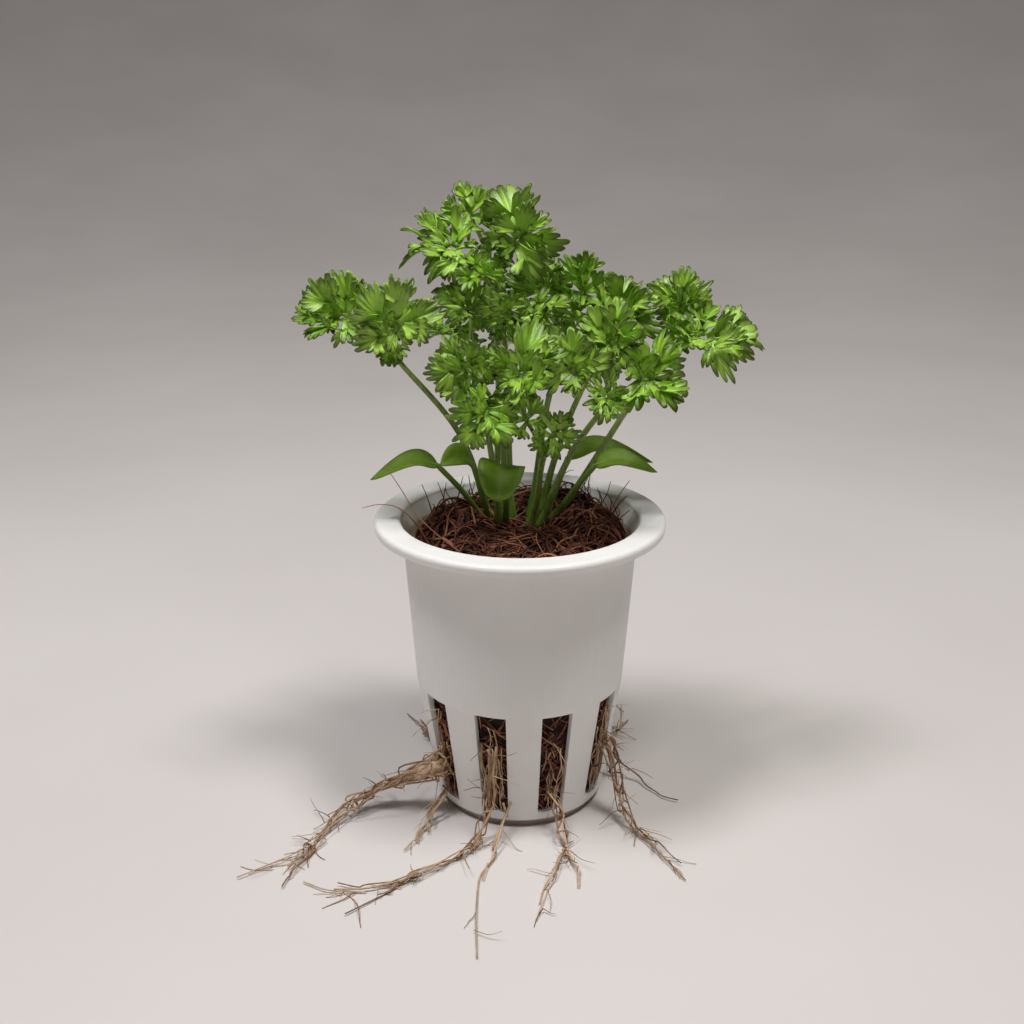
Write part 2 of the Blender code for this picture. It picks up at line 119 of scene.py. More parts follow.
LEAVES = {
    "left": Leaf(
        "left", 3, (-22.4, -1.5, 88.0), (1.0, 0.5, 2.0),
        (
            Blade((-21.8, -4.8, 93.0), (0.1, 0.0, 1.0), (0.1, -1.0, 0.5), 9.2),
            Blade((-30.8, -0.4, 94.8), (-1.0, 0.0, -0.1), (-0.1, -0.8, 0.6), 9.4),
            Blade((-24.0, 4.2, 93.0), (0.1, 0.8, 0.5), (0.0, -0.3, 1.0), 7.5),
        ),
    ),
    "top": Leaf(
        "left", 1, (-4.4, 5.0, 101.5), (-0.5, 0.5, 0.0),
        (
            Blade((-11.4, 3.0, 106.4), (-1.0, -0.1, 0.1), (-0.3, -0.5, 0.9), 9.6),
            Blade((-9.0, 10.4, 111.4), (-0.3, 0.3, 0.9), (-0.1, -0.9, 0.4), 6.4),
            Blade((-0.8, 4.4, 107.0), (0.6, 0.0, 0.7), (0.4, -0.6, 0.7), 8.6),
            Blade((-6.4, -2.6, 102.4), (-0.6, -0.8, 0.1), (0.0, -0.4, 1.0), 6.0),
        ),
    ),
    "middle": Leaf(
        "left", 0, (-3.0, 1.6, 92.6), (0.3, 0.0, 0.0),
        (
            Blade((-8.4, 0.6, 96.4), (-1.0, -0.1, 0.2), (-0.2, -0.6, 0.8), 7.0),
            Blade((-2.4, -4.6, 95.6), (0.1, -0.5, 0.8), (0.0, -1.0, 0.5), 6.5),
            Blade((2.4, 0.4, 95.4), (1.0, 0.0, 0.3), (0.2, -0.6, 0.8), 6.0),
        ),
    ),
    "front": Leaf(
        "left", 6, (-4.4, -9.6, 82.2), (0.0, 0.5, 1.0),
        (
            Blade((-8.4, -9.6, 86.8), (-0.6, 0.0, 0.8), (-0.2, -1.0, 0.5), 8.6),
            Blade((-0.4, -12.4, 86.8), (0.8, -0.1, 0.5), (0.1, -1.0, 0.5), 8.5),
            Blade((-5.6, -15.4, 81.8), (-0.5, -0.2, -0.8), (-0.1, -1.0, 0.4), 7.0),
        ),
    ),
    "right": Leaf(
        "right", 3, (9.0, 8.4, 92.6), (-0.5, 0.0, 0.0),
        (
            Blade((4.4, 10.2, 97.6), (-0.6, 0.1, 0.8), (-0.1, -0.8, 0.6), 7.5),
            Blade((11.2, 8.6, 97.6), (0.3, 0.1, 0.95), (0.1, -0.9, 0.5), 7.5),
            Blade((16.4, 2.6, 94.2), (0.9, -0.1, 0.4), (0.2, -0.7, 0.7), 8.5),
        ),
    ),
    "front_right": Leaf(
        "right", 6, (15.4, -6.6, 81.0), (0.0, 0.5, 1.0),
        (
            Blade((9.6, -8.6, 86.6), (-0.8, 0.0, 0.6), (-0.1, -1.0, 0.5), 7.6),
            Blade((16.0, -5.0, 90.6), (0.1, 0.2, 1.0), (0.0, -1.0, 0.5), 8.0),
            Blade((20.8, -8.6, 85.6), (1.0, 0.0, -0.1), (0.1, -1.0, 0.5), 8.8),
            Blade((14.6, -12.4, 83.6), (-0.1, -0.2, -1.0), (0.0, -1.0, 0.4), 5.8),
        ),
    ),
    "far_right": Leaf(
        "right", 0, (27.0, 4.0, 89.6), (1.0, 0.0, -2.0),
        (
            Blade((29.6, 6.4, 94.8), (0.0, 0.2, 1.0), (0.1, -0.9, 0.5), 7.2),
            Blade((32.4, 2.2, 91.0), (0.9, -0.1, -0.4), (0.2, -0.8, 0.7), 8.8),
        ),
    ),
    "small": Leaf(
        "right", 5, (4.4, -4.4, 71.0), (0.3, 0.5, 0.0),
        (
            Blade((5.6, -7.0, 75.0), (0.6, -0.1, 0.7), (0.1, -1.0, 0.4), 5.6),
            Blade((1.2, -4.6, 77.0), (-0.4, 0.0, 0.9), (-0.1, -1.0, 0.5), 5.0),
        ),
    ),
    "back_left": Leaf(
        "left", 2, (-9.6, 14.6, 86.0), (0.0, -0.5, 2.0),
        (
            Blade((-12.4, 18.0, 88.0), (-0.6, 0.8, 0.2), (-0.3, 0.7, 0.7), 7.0),
            Blade((-9.0, 14.0, 94.8), (0.1, 0.2, 1.0), (0.0, 1.0, 0.3), 7.5),
            Blade((-3.2, 19.0, 87.4), (0.8, 0.6, 0.0), (0.2, 0.8, 0.6), 8.0),
        ),
    ),
    "back_right": Leaf(
        "right", 2, (14.0, 14.4, 82.4), (0.0, -0.5, 2.0),
        (
            Blade((18.2, 14.8, 86.4), (0.8, 0.3, 0.5), (0.3, 0.8, 0.6), 8.0),
            Blade((10.2, 18.2, 86.2), (-0.7, 0.6, 0.3), (-0.1, 0.9, 0.5), 8.0),
        ),
    ),
}

SEED_LEAVES = {
    "left": SeedLeaf(
        "left", 4, (-15.2, -1.8, 68.0), (-19.8, -3.0, 69.4), (-27.4, -4.4, 66.0), 4.8,
        (-0.1, -0.4, 1.0),
    ),
    "left_middle": SeedLeaf(
        "left", 5, (-8.6, -3.0, 68.6), (-10.8, -6.0, 71.0), (-14.2, -9.6, 70.4), 5.2,
        (0.3, -0.6, 0.9),
    ),
    "front": SeedLeaf(
        "left", 7, (-2.9, -8.4, 70.0), (-3.4, -12.0, 70.2), (-3.9, -15.8, 65.6), 7.8,
        (0.0, -0.8, 0.8),
    ),
    "right": SeedLeaf(
        "right", 1, (9.2, 7.8, 66.6), (15.4, 8.6, 69.0), (25.8, 8.0, 65.6), 4.6,
        (0.0, -0.4, 1.0),
    ),
    "front_right": SeedLeaf(
        "right", 7, (14.0, 0.2, 67.4), (18.4, -0.6, 69.0), (25.4, -1.6, 66.6), 4.4,
        (0.0, -0.5, 1.0),
    ),
}

ROOTS = {
    "left": Root(
        2.0,
        ((-13.9, -10.6, 11), (-17.5, -11, 9.5), (-24.5, -9.5, 6), (-31, -11, 3), (-36, -16, 1.6),
         (-38.5, -22.5, 1.0), (-43, -28.5, 0.8), (-50.5, -32.5, 0.6)),
    ),
    "left_fork": Root(
        0.5,
        ((-40.2, -27, 0.8), (-41, -31, 0.7), (-42, -35, 0.6)),
    ),
    "left_low": Root(
        0.7,
        ((-14.4, -11.8, 6), (-16.8, -14.4, 3), (-18.6, -17.2, 1.1), (-19.4, -20.8, 0.8),
         (-21.5, -24.5, 0.6)),
    ),
    "front_left": Root(
        1.1,
        ((-5.6, -18.6, 19), (-5.9, -19.4, 12), (-6.4, -20.2, 6), (-8, -22.6, 2), (-10.5, -26, 1.2),
         (-16, -31, 0.9), (-23, -35, 0.8), (-31, -36.5, 0.7), (-38.5, -33.5, 0.6)),
    ),
    "front_left_fork": Root(
        0.45,
        ((-24, -36.6, 0.8), (-27.5, -39, 0.7), (-30, -42, 0.6)),
    ),
    "front": Root(
        0.6,
        ((-2.8, -17.3, 6), (-3.4, -21, 2), (-5.4, -27, 0.8), (-7.4, -35, 0.7), (-7.8, -44, 0.6),
         (-7.2, -52.5, 0.5)),
    ),
    "front_right": Root(
        1.0,
        ((5.8, -16.6, 9), (7, -20, 4), (8.6, -24, 1.6), (7.6, -29, 1.1), (5, -34, 0.8), (4.6, -38.5, 0.7),
         (2.6, -43.5, 0.6)),
    ),
    "front_right_fork": Root(
        0.45,
        ((9.4, -26.8, 0.9), (10.6, -30.5, 0.7), (10.2, -35, 0.6)),
    ),
    "right": Root(
        1.2,
        ((15.8, -10.6, 16), (18, -12, 9.5), (19.6, -13.8, 4.5), (21, -17, 1.8), (24, -21.8, 1.1),
         (27, -28, 0.8), (29.4, -33, 0.6)),
    ),
    "right_side": Root(
        0.7,
        ((17.6, 0.8, 9), (21, 0.6, 4), (24.5, -1.5, 1.2), (28.5, -6.5, 0.8), (31.5, -8.5, 0.6)),
    ),
    "back_right": Root(
        0.9,
        ((13.8, 10.9, 10), (17.5, 14.2, 4.5), (21, 17.8, 1.4), (24, 23.5, 0.9), (24, 30, 0.6)),
    ),
    "back": Root(
        0.8,
        ((-5.4, 16.4, 8), (-6.8, 20.4, 3.2), (-8.4, 24.5, 1.2), (-7.4, 30, 0.8), (-10, 35.5, 0.6)),
    ),
    "back_left": Root(
        0.8,
        ((-14.6, 9.9, 9), (-17.8, 12.6, 4), (-20, 16, 1.2), (-21.5, 21.5, 0.8), (-25.5, 26, 0.6)),
    ),
}

# ---------------------------------------------------------------- helpers


def vec(*values):
    return np.array(values, float)


def unit(v):
    return v / max(np.linalg.norm(v), 1e-12)


def directions(heading, facing):
    """Unit vectors along a blade, across it and out of its upper side."""
    along = unit(vec(*heading))
    up = vec(*facing)
    up = unit(up - along * (up @ along))
    return along, np.cross(up, along), up


def smooth_route(points, count):
    """count + 1 points, evenly placed by parameter on a Catmull-Rom curve through the points given."""
    points = np.asarray(points, float)
    ends = np.vstack([2 * points[0] - points[1], points, 2 * points[-1] - points[-2]])
    spans = len(points) - 1
    at = np.linspace(0, spans, count + 1)
    span = np.minimum(at.astype(int), spans - 1)
    t = (at - span)[:, None]
    a, b, c, d = (ends[span + k] for k in range(4))
    return (2 * b + (c - a) * t + (2 * a - 5 * b + 4 * c - d) * t**2 + (3 * b - a - 3 * c + d) * t**3) / 2


def seat_place(crown, seat):
    """Where the stalk in this seat of a crown leaves the coir."""
    angle = 2 * math.pi * seat / SEATS
    x, y = CROWNS[crown]
    return vec(x * MM + SEAT_RING * math.cos(angle), y * MM + SEAT_RING * math.sin(angle), PLUG_CROWN)


def quads_between(rings, sides):
    """The faces between one ring of points and the next, for rings with this many sides."""
    faces = []
    for i in range(rings - 1):
        for j in range(sides):
            k = (j + 1) % sides
            faces.append((i * sides + j, i * sides + k, (i + 1) * sides + k, (i + 1) * sides + j))
    return faces


def end_caps(rings, sides):
    """The faces that close the first ring and the last one."""
    last = (rings - 1) * sides
    return [tuple(range(sides))[::-1], tuple(range(last, last + sides))]


def turned_over(face):
    """The same face with its other side outwards, still from its first point."""
    return (face[0], *face[:0:-1])


def random_angle(rng, low, high):
    """An angle in radians, drawn between two in degrees."""
    return math.radians(rng.uniform(low, high))


def cross_sections(route):
    """Unit vectors along a route near the floor, level across it, and square to both."""
    ahead = np.gradient(route, axis=0)
    ahead /= np.linalg.norm(ahead, axis=1, keepdims=True)
    side = np.cross(ahead, vec(0, 0, 1))
    side /= np.maximum(np.linalg.norm(side, axis=1, keepdims=True), 1e-9)
    return ahead, side, np.cross(side, ahead)


class Shape:
    """Points, faces and per-point numbers, gathered before they become one mesh."""

    def __init__(self):
        self.points = []
        self.faces = []
        self.values = []
        self.count = 0

    def add(self, points, faces, values):
        """values is an array of (vein, edge, tone) for each point."""
        self.points.append(points)
        self.values.append(values)
        self.faces.extend([tuple(int(i) + self.count for i in face) for face in faces])
        self.count += len(points)

    def build(self, name, material, nodes=()):
        """Make the mesh, on the part's one body, in place of the CAD nodes given."""
        name = "look_" + name
        mesh = bpy.data.meshes.new(name)
        mesh.from_pydata(np.concatenate(self.points).tolist(), [], self.faces)
        values = np.concatenate(self.values)
        for column, attribute in enumerate(("vein", "edge", "tone")):
            layer = mesh.attributes.new(attribute, "FLOAT", "POINT")
            layer.data.foreach_set("value", values[:, column].astype(np.float32))
        mesh.shade_smooth()
        mesh.materials.append(material)
        obj = bpy.data.objects.new(name, mesh)
        bpy.context.scene.collection.objects.link(obj)
        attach(obj, "root")
        if nodes:
            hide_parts(*nodes)


def tube(shape, route, radii, sides, tone, ridges=0.0):
    """A closed tube along the route. ridges is the depth of its grooves as a share of its radius."""
    route = np.asarray(route, float)
    radii = np.broadcast_to(np.asarray(radii, float), len(route))
    ahead = np.gradient(route, axis=0)
    ahead /= np.maximum(np.linalg.norm(ahead, axis=1, keepdims=True), 1e-12)
    side = unit(np.cross(ahead[0], vec(0.3, 0.9, 0.2)))
    angles = np.arange(sides) * 2 * math.pi / sides
    groove = 1 - ridges * (np.arange(sides) % 2)
    rings = []
    for place, forward, radius in zip(route, ahead, radii):
        side = unit(side - forward * (side @ forward))
        other = np.cross(forward, side)
        outward = np.cos(angles)[:, None] * side + np.sin(angles)[:, None] * other
        rings.append(place + radius * groove[:, None] * outward)
    points = np.concatenate(rings)
    values = np.zeros((len(points), 3))
    # The first number is 1 on the grooved sides, where the stalk's material puts painted shade.
    values[:, 0] = np.tile(np.arange(sides) % 2, len(route))
    values[:, 1] = np.repeat(np.linspace(0, 1, len(route)), sides)
    values[:, 2] = tone
    shape.add(points, quads_between(len(route), sides) + end_caps(len(route), sides), values)


def tapered(shape, points, steps, first, last, sides, tone, ridges=0.0):
    """A tube on a smooth curve through the points, whose radius runs evenly from the first to the last."""
    tube(shape, smooth_route(points, steps), np.linspace(first, last, steps + 1), sides, tone, ridges)


def shell(shape, grid, thickness, values):
    """A thin closed leaf from a grid of points: thickest inside, and sharp at its border."""
    rows, columns = grid.shape[:2]
    normal = np.cross(np.gradient(grid, axis=0), np.gradient(grid, axis=1))
    normal /= np.maximum(np.linalg.norm(normal, axis=2, keepdims=True), 1e-15)
    inside = np.zeros((rows, columns), bool)
    inside[1:-1, 1:-1] = True
    half = np.where(inside, thickness / 2, 0.0)[..., None]
    top = (grid + normal * half).reshape(-1, 3)
    flat = inside.reshape(-1)
    bottom = (grid - normal * half).reshape(-1, 3)[flat]
    number = np.arange(rows * columns)
    under = number.copy()
    under[flat] = rows * columns + np.arange(flat.sum())
    number = number.reshape(rows, columns)
    under = under.reshape(rows, columns)
    quads = np.stack([number[:-1, :-1], number[1:, :-1], number[1:, 1:], number[:-1, 1:]], -1).reshape(-1, 4)
    unders = np.stack([under[:-1, :-1], under[:-1, 1:], under[1:, 1:], under[1:, :-1]], -1).reshape(-1, 4)
    values = values.reshape(-1, 3)
    shape.add(
        np.concatenate([top, bottom]),
        np.concatenate([quads, unders]),
        np.concatenate([values, values[flat]]),
    )


# ---------------------------------------------------------------- materials

# Sockets of the Mix node for colours, which share their names with those for numbers and vectors
MIX_INPUTS = (0, 6, 7)  # the factor, then the two colours
MIX_OUTPUT = 2


class Look:
    """A material in the making. Colours are linear RGB, and a value is a node's socket or a number."""

    def __init__(self, name):
        self.material = bpy.data.materials.new(name)
        self.material.use_nodes = True
        self.nodes = self.material.node_tree.nodes
        self.shader = self.nodes["Principled BSDF"]

    def link(self, source, target):
        self.material.node_tree.links.new(source, target)

    def set(self, name, value):
        """Give the shader's input of this name a value of its own, the same all over the surface."""
        self.shader.inputs[name].default_value = value

    def paint(self, colour):
        self.link(colour, self.shader.inputs["Base Color"])

    def place(self):
        """The place of a point, in the object's own coordinates."""
        return self.nodes.new("ShaderNodeTexCoord").outputs["Object"]

    def height(self):
        split = self.nodes.new("ShaderNodeSeparateXYZ")
        self.link(self.place(), split.inputs["Vector"])
        return split.outputs["Z"]

    def noise(self, scale, detail=3.0, roughness=0.55, stretch=None):
        """A noise between 0 and 1, scale in cells per metre, stretched where an axis's factor is under 1."""
        texture = self.nodes.new("ShaderNodeTexNoise")
        texture.inputs["Scale"].default_value = scale
        texture.inputs["Detail"].default_value = detail
        texture.inputs["Roughness"].default_value = roughness
        place = self.place()
        if stretch:
            mapping = self.nodes.new("ShaderNodeMapping")
            mapping.inputs["Scale"].default_value = stretch
            self.link(place, mapping.inputs["Vector"])
            place = mapping.outputs["Vector"]
        self.link(place, texture.inputs["Vector"])
        return texture.outputs["Fac"]

    def ramp(self, source, *stops):
        """The colours of the stops, each a position and a colour, read at the source's value."""
        node = self.nodes.new("ShaderNodeValToRGB")
        elements = node.color_ramp.elements
        while len(elements) < len(stops):
            elements.new(0.5)
        for element, (position, colour) in zip(elements, stops):
            element.position = position
            element.color = (*colour, 1.0)
        self.link(source, node.inputs["Fac"])
        return node.outputs["Color"]

    def mix(self, factor, first, second, blend="MIX"):
        """A mix of two colours."""
        node = self.nodes.new("ShaderNodeMix")
        node.data_type = "RGBA"
        node.blend_type = blend
        for index, value in zip(MIX_INPUTS, (factor, first, second)):
            if isinstance(value, bpy.types.NodeSocket):
                self.link(value, node.inputs[index])
            elif isinstance(value, tuple):
                node.inputs[index].default_value = (*value, 1.0)
            else:
                node.inputs[index].default_value = value
        return node.outputs[MIX_OUTPUT]

    def maths(self, operation, first, second):
        node = self.nodes.new("ShaderNodeMath")
        node.operation = operation
        for index, value in enumerate((first, second)):
            if isinstance(value, bpy.types.NodeSocket):
                self.link(value, node.inputs[index])
            else:
                node.inputs[index].default_value = value
        return node.outputs[0]

    def stored(self, name, share=1.0):
        """One of the numbers that Shape stores for each point, times a share."""
        node = self.nodes.new("ShaderNodeAttribute")
        node.attribute_name = name
        return self.maths("MULTIPLY", node.outputs["Fac"], share)

    def translucent(self, weight, radius, scale):
        """Let light spread under the surface, the radius being for red, green and blue."""
        self.set("Subsurface Weight", weight)
        self.set("Subsurface Radius", radius)
        self.set("Subsurface Scale", scale)

    def bump(self, scale, strength, distance):
        """Fine relief from a noise."""
        node = self.nodes.new("ShaderNodeBump")
        node.inputs["Strength"].default_value = strength
        node.inputs["Distance"].default_value = distance
        self.link(self.noise(scale, detail=2.0), node.inputs["Height"])
        self.link(node.outputs["Normal"], self.shader.inputs["Normal"])


def leaf_material():
    """Fresh green in patches, with paler veins whose greyish colour is partly a painted sheen, and dark tips
    on the teeth.
    """
    look = Look("leaf")
    patch = look.ramp(
        look.noise(420.0),
        (0.32, (0.105, 0.265, 0.001)), (0.52, (0.235, 0.475, 0.004)), (0.72, (0.37, 0.60, 0.05)),
    )
    toned = look.mix(look.stored("tone"), patch, (0.36, 0.57, 0.075))
    # The veins are paler green, and their greyish colour is partly a painted sheen.
    veined = look.mix(look.stored("vein", 0.42), toned, (0.45, 0.58, 0.24))
    look.paint(look.mix(look.stored("edge", 0.86), veined, (0.026, 0.046, 0.003)))
    look.set("Roughness", 0.38)
    look.set("Specular IOR Level", 0.45)
    look.translucent(0.12, (0.6, 1.0, 0.12), 0.6 * MM)
    look.bump(2200.0, 0.35, 0.12 * MM)
    return look.material


def stalk_material():
    """Pale green with fine upright streaks, painted shade in the grooves, and greener at the foot."""
    look = Look("stalk")
    streaked = look.ramp(
        look.noise(2600.0, detail=2.0, roughness=0.5, stretch=(1.0, 1.0, 0.06)),
        (0.3, (0.14, 0.20, 0.03)), (0.55, (0.25, 0.34, 0.075)), (0.8, (0.38, 0.46, 0.16)),
    )
    # Painted shade: the grooved sides are mixed towards a dark green.
    grooved = look.mix(look.stored("vein", 0.35), streaked, (0.075, 0.10, 0.02))
    foot = look.maths("POWER", look.maths("SUBTRACT", 1.0, look.stored("edge")), 3.0)
    look.paint(look.mix(look.maths("MULTIPLY", foot, 0.6), grooved, (0.13, 0.30, 0.012)))
    look.set("Roughness", 0.45)
    look.translucent(0.15, (0.6, 1.0, 0.3), 0.6 * MM)
    return look.material


def seed_leaf_material():
    """A duller, darker green than the leaves', with a pale midrib and border."""
    look = Look("seed_leaf")
    patch = look.ramp(
        look.noise(300.0),
        (0.3, (0.085, 0.16, 0.004)), (0.6, (0.135, 0.235, 0.010)), (0.85, (0.19, 0.30, 0.02)),
    )
    veined = look.mix(look.stored("vein", 0.35), patch, (0.16, 0.24, 0.07))
    look.paint(look.mix(look.stored("edge", 0.5), veined, (0.20, 0.26, 0.09)))
    look.set("Roughness", 0.5)
    look.set("Specular IOR Level", 0.25)
    look.translucent(0.2, (0.5, 1.0, 0.2), 0.8 * MM)
    look.bump(1800.0, 0.25, 0.1 * MM)
    return look.material


def inside_of_cup(look):
    """1 nearer the axis than the middle of the wall above the slots, and 0 outside that."""
    flat = look.nodes.new("ShaderNodeVectorMath")
    flat.operation = "MULTIPLY"
    flat.inputs[1].default_value = (1, 1, 0)
    look.link(look.place(), flat.inputs[0])
    radius = look.nodes.new("ShaderNodeVectorMath")
    radius.operation = "LENGTH"
    look.link(flat.outputs["Vector"], radius.inputs[0])
    slope = (NECK_RADIUS - KNEE_RADIUS) / (CUP_HEIGHT - RIM_EDGE - KNEE_HEIGHT)
    rise = look.maths("MULTIPLY", look.height(), slope)
    limit = look.maths("ADD", rise, KNEE_RADIUS - WALL / 2 - slope * KNEE_HEIGHT)
    return look.maths("LESS_THAN", radius.outputs["Value"], limit)


# Shares of the cup's height, and how strong the stain on the inner wall is there
STAIN = ((0.46, 0.0), (0.52, 0.9), (0.90, 0.8), (0.985, 0.15))


def cup_material():
    """Semi-gloss white plastic, with painted shade on its foot and a faint brown stain on the inner wall."""
    look = Look("cup")
    clean = look.ramp(look.noise(45.0), (0.3, (0.79, 0.77, 0.748)), (0.7, (0.855, 0.84, 0.822)))
    # Painted shade: up to about the foot's height the colour is multiplied by a warm dark grey, for the
    # shadow under the cup.
    low = look.maths("DIVIDE", look.height(), 1.2 * FOOT_HEIGHT)
    painted_foot_shade = look.ramp(low, (0.80, (0.42, 0.34, 0.29)), (1.0, (1.0, 1.0, 1.0)))
    foot_shaded_colour = look.mix(1.0, clean, painted_foot_shade, "MULTIPLY")
    depth = look.maths("DIVIDE", look.height(), CUP_HEIGHT)
    stain = look.ramp(depth, *((share, (strength,) * 3) for share, strength in STAIN))
    stained = look.maths("MULTIPLY", inside_of_cup(look), stain)
    look.paint(look.mix(stained, foot_shaded_colour, (0.96, 0.86, 0.73)))
    gloss = look.ramp(look.noise(260.0), (0.3, (0.34,) * 3), (0.7, (0.46,) * 3))
    look.link(gloss, look.shader.inputs["Roughness"])
    look.translucent(0.25, (1.0, 0.95, 0.9), 1.5 * MM)
    look.bump(900.0, 0.06, 0.1 * MM)
    return look.material


def fibre_material(name, dark, middle, light, roughness):
    """A dry fibre, whose colour follows its own tone and a fine grain."""
    look = Look(name)
    grain = look.maths("MULTIPLY", look.noise(700.0), 0.45)
    both = look.maths("ADD", grain, look.stored("tone", 0.75))
    look.paint(look.ramp(both, (0.15, dark), (0.5, middle), (0.95, light)))
    look.set("Roughness", roughness)
    look.bump(4000.0, 0.4, 0.1 * MM)
    return look.material


def floor_material():
    """A matt, warm grey, a little uneven."""
    look = Look("floor")
    look.paint(look.ramp(look.noise(6.0), (0.35, (0.588, 0.549, 0.527)), (0.65, (0.632, 0.592, 0.57))))
    look.set("Roughness", 0.7)
    return look.material


# ---------------------------------------------------------------- leaves

TOOTH_COLUMNS = 6  # faces across a tooth
LOBE_ROWS = 10  # faces along a lobe
FEWEST_TEETH = 2
MOST_TEETH = 5
FINE_TOOTH = 1.35 * MM  # width of a tooth
BROAD_TOOTH = 2.1 * MM  # the same on the leaf at the front right, which is coarser
LEAF_THICKNESS = 0.24 * MM
FINGER_BASE = 0.09  # half the width of a lobe's base, as a share of its length
LOBE_START = 0.03  # how far from its apex a lobe starts, as a share of its length
DEEPEST_NOTCH = 0.42  # as a share of the lobe's length


def lobe(shape, rng, apex, axes, length, spread, tooth_width, tone):
    """One finger of a leaflet: a folded wedge that ends in rounded teeth. spread is half its angle."""
    along, across, up = axes
    teeth = int(np.clip(round(2 * spread * length / tooth_width), FEWEST_TEETH, MOST_TEETH))
    # u counts teeth across the lobe, s runs across it from -1 to 1, and t runs from its base to its tip
    u = np.linspace(0, teeth, teeth * TOOTH_COLUMNS + 1)[:, None]
    s = u / teeth * 2 - 1
    t = np.linspace(0, 1, LOBE_ROWS + 1)[None, :] ** 0.75
    tooth = np.minimum(u.astype(int), teeth - 1)
    within = u - tooth
    # Its outline: a round bulge for each tooth, with notches of uneven depth between them
    bulge = (4 * within * (1 - within)) ** 0.36
    bulge[0] = bulge[-1] = 0
    notch = np.minimum(rng.uniform(0.6, 1.1, teeth) * tooth_width / length, DEEPEST_NOTCH)[tooth]
    own = (1 + rng.uniform(-0.07, 0.07, teeth))[tooth]
    reach = length * own * (1 - 0.20 * s**2) * (1 - notch * (1 - bulge))
    start = LOBE_START * length
    radius = start + (reach - start) * t
    q = radius / length
    inner = np.clip(1 - q, 0, 1)
    turn = s * spread * (1 - 0.45 * inner**1.5)
    x = radius * np.cos(turn)
    y = radius * np.sin(turn) + FINGER_BASE * length * s * inner
    # Its relief: a fold along the middle, a curl, a twist, and a nod and a crimp for each tooth
    outer = np.clip((q - 0.45) / 0.55, 0, 1.2)
    fold = rng.uniform(0.15, 0.95)
    curl = rng.uniform(-0.20, 0.60)
    twist = rng.uniform(-0.8, 0.8)
    soft = 0.05 * length
    z = fold * (np.sqrt(y**2 + soft**2) - soft) * (1 - 0.4 * outer)
    z = z - curl * length * q**2.3
    z = z + twist * x * y / length
    nod = rng.uniform(-0.6, 0.7, teeth)[tooth] * tooth_width
    z = z + nod * outer**1.8 * np.sin(np.pi * within) ** 0.7
    crimp = rng.uniform(0.06, 0.30) * min(tooth_width, 1.6 * MM)
    z = z + crimp * outer * np.cos(2 * np.pi * within)
    grid = apex + x[..., None] * along + y[..., None] * across + z[..., None] * up
    # Its colour: a vein along the middle and a smaller one in each tooth, pale and partly a painted sheen,
    # and dark tips on some teeth
    middle = np.exp(-((y / (0.05 * length)) ** 2)) * inner
    minor = 0.4 * np.exp(-(((within - 0.5) / 0.14) ** 2)) * np.clip((q - 0.4) * 3, 0, 1)
    vein = np.maximum(middle, minor * np.clip((1.0 - t) * 3, 0, 1))
    edge = np.clip((t - 0.70) / 0.26, 0, 1) * np.clip(rng.uniform(0.4, 1.7, teeth), 0, 1)[tooth]
    shade = np.clip(tone + rng.uniform(-0.25, 0.25), 0, 1) * np.ones_like(q)
    shell(shape, grid, LEAF_THICKNESS, np.stack([vein, edge, shade], -1))


def turned(axes, heading, lift, roll):
    """The same three directions after a turn in the leaf's plane, a lift out of it, and a roll."""
    along, across, up = axes
    outward = along * math.cos(heading) + across * math.sin(heading)
    sideways = across * math.cos(heading) - along * math.sin(heading)
    lifted = outward * math.cos(lift) + up * math.sin(lift)
    above = up * math.cos(lift) - outward * math.sin(lift)
    return (
        lifted,
        sideways * math.cos(roll) + above * math.sin(roll),
        above * math.cos(roll) - sideways * math.sin(roll),
    )


SIDE_FINGERS = ((0.40, 0.60), (0.16, 0.50))  # how far along an arm they start, and their length, as shares
LOW_FINGER = 0.3  # a finger that starts lower than this share is left off some arms
SHORT_ARM = 5.5 * MM  # an arm under this length never has one


def arm(shape, rng, start, axes, length, tooth_width, tone):
    """A middle finger with one or two side fingers on each side, all curled their own ways."""
    lobe(shape, rng, start, axes, length, random_angle(rng, 20, 27), tooth_width, tone)
    for side in (-1, 1):
        for share, size in SIDE_FINGERS:
            if share < LOW_FINGER and (length < SHORT_ARM or rng.uniform() < 0.35):
                continue
            heading = side * random_angle(rng, 34, 52)
            lift = random_angle(rng, -8, 42)
            roll = random_angle(rng, -35, 35)
            place = start + axes[0] * share * length + axes[2] * 0.15 * MM
            spread = random_angle(rng, 24, 33)
            reach = length * size * rng.uniform(0.85, 1.15)
            lobe(shape, rng, place, turned(axes, heading, lift, roll), reach, spread, tooth_width, tone)


# Each arm of a leaflet: heading in degrees, length as a share of the leaflet's, and how far along
# the leaflet's spine it starts
FULL_LEAFLET = (
    (0, 0.80, 0.65), (-52, 0.84, 0.35), (54, 0.86, 0.4), (-104, 0.76, 0.08), (106, 0.74, 0.1),
    (165, 0.42, 0.0),
)
SMALL_LEAFLET = (
    (0, 0.84, 0.6), (-60, 0.84, 0.3), (62, 0.82, 0.35), (-118, 0.66, 0.05), (118, 0.66, 0.05),
)
FORK_ARMS = ((-150, 0.9, 0.0), (-75, 1.0, 0.0), (0, 1.0, 0.0), (75, 1.0, 0.0), (148, 0.9, 0.0))
LONGEST_SMALL_LEAFLET = 7.0  # in millimetres
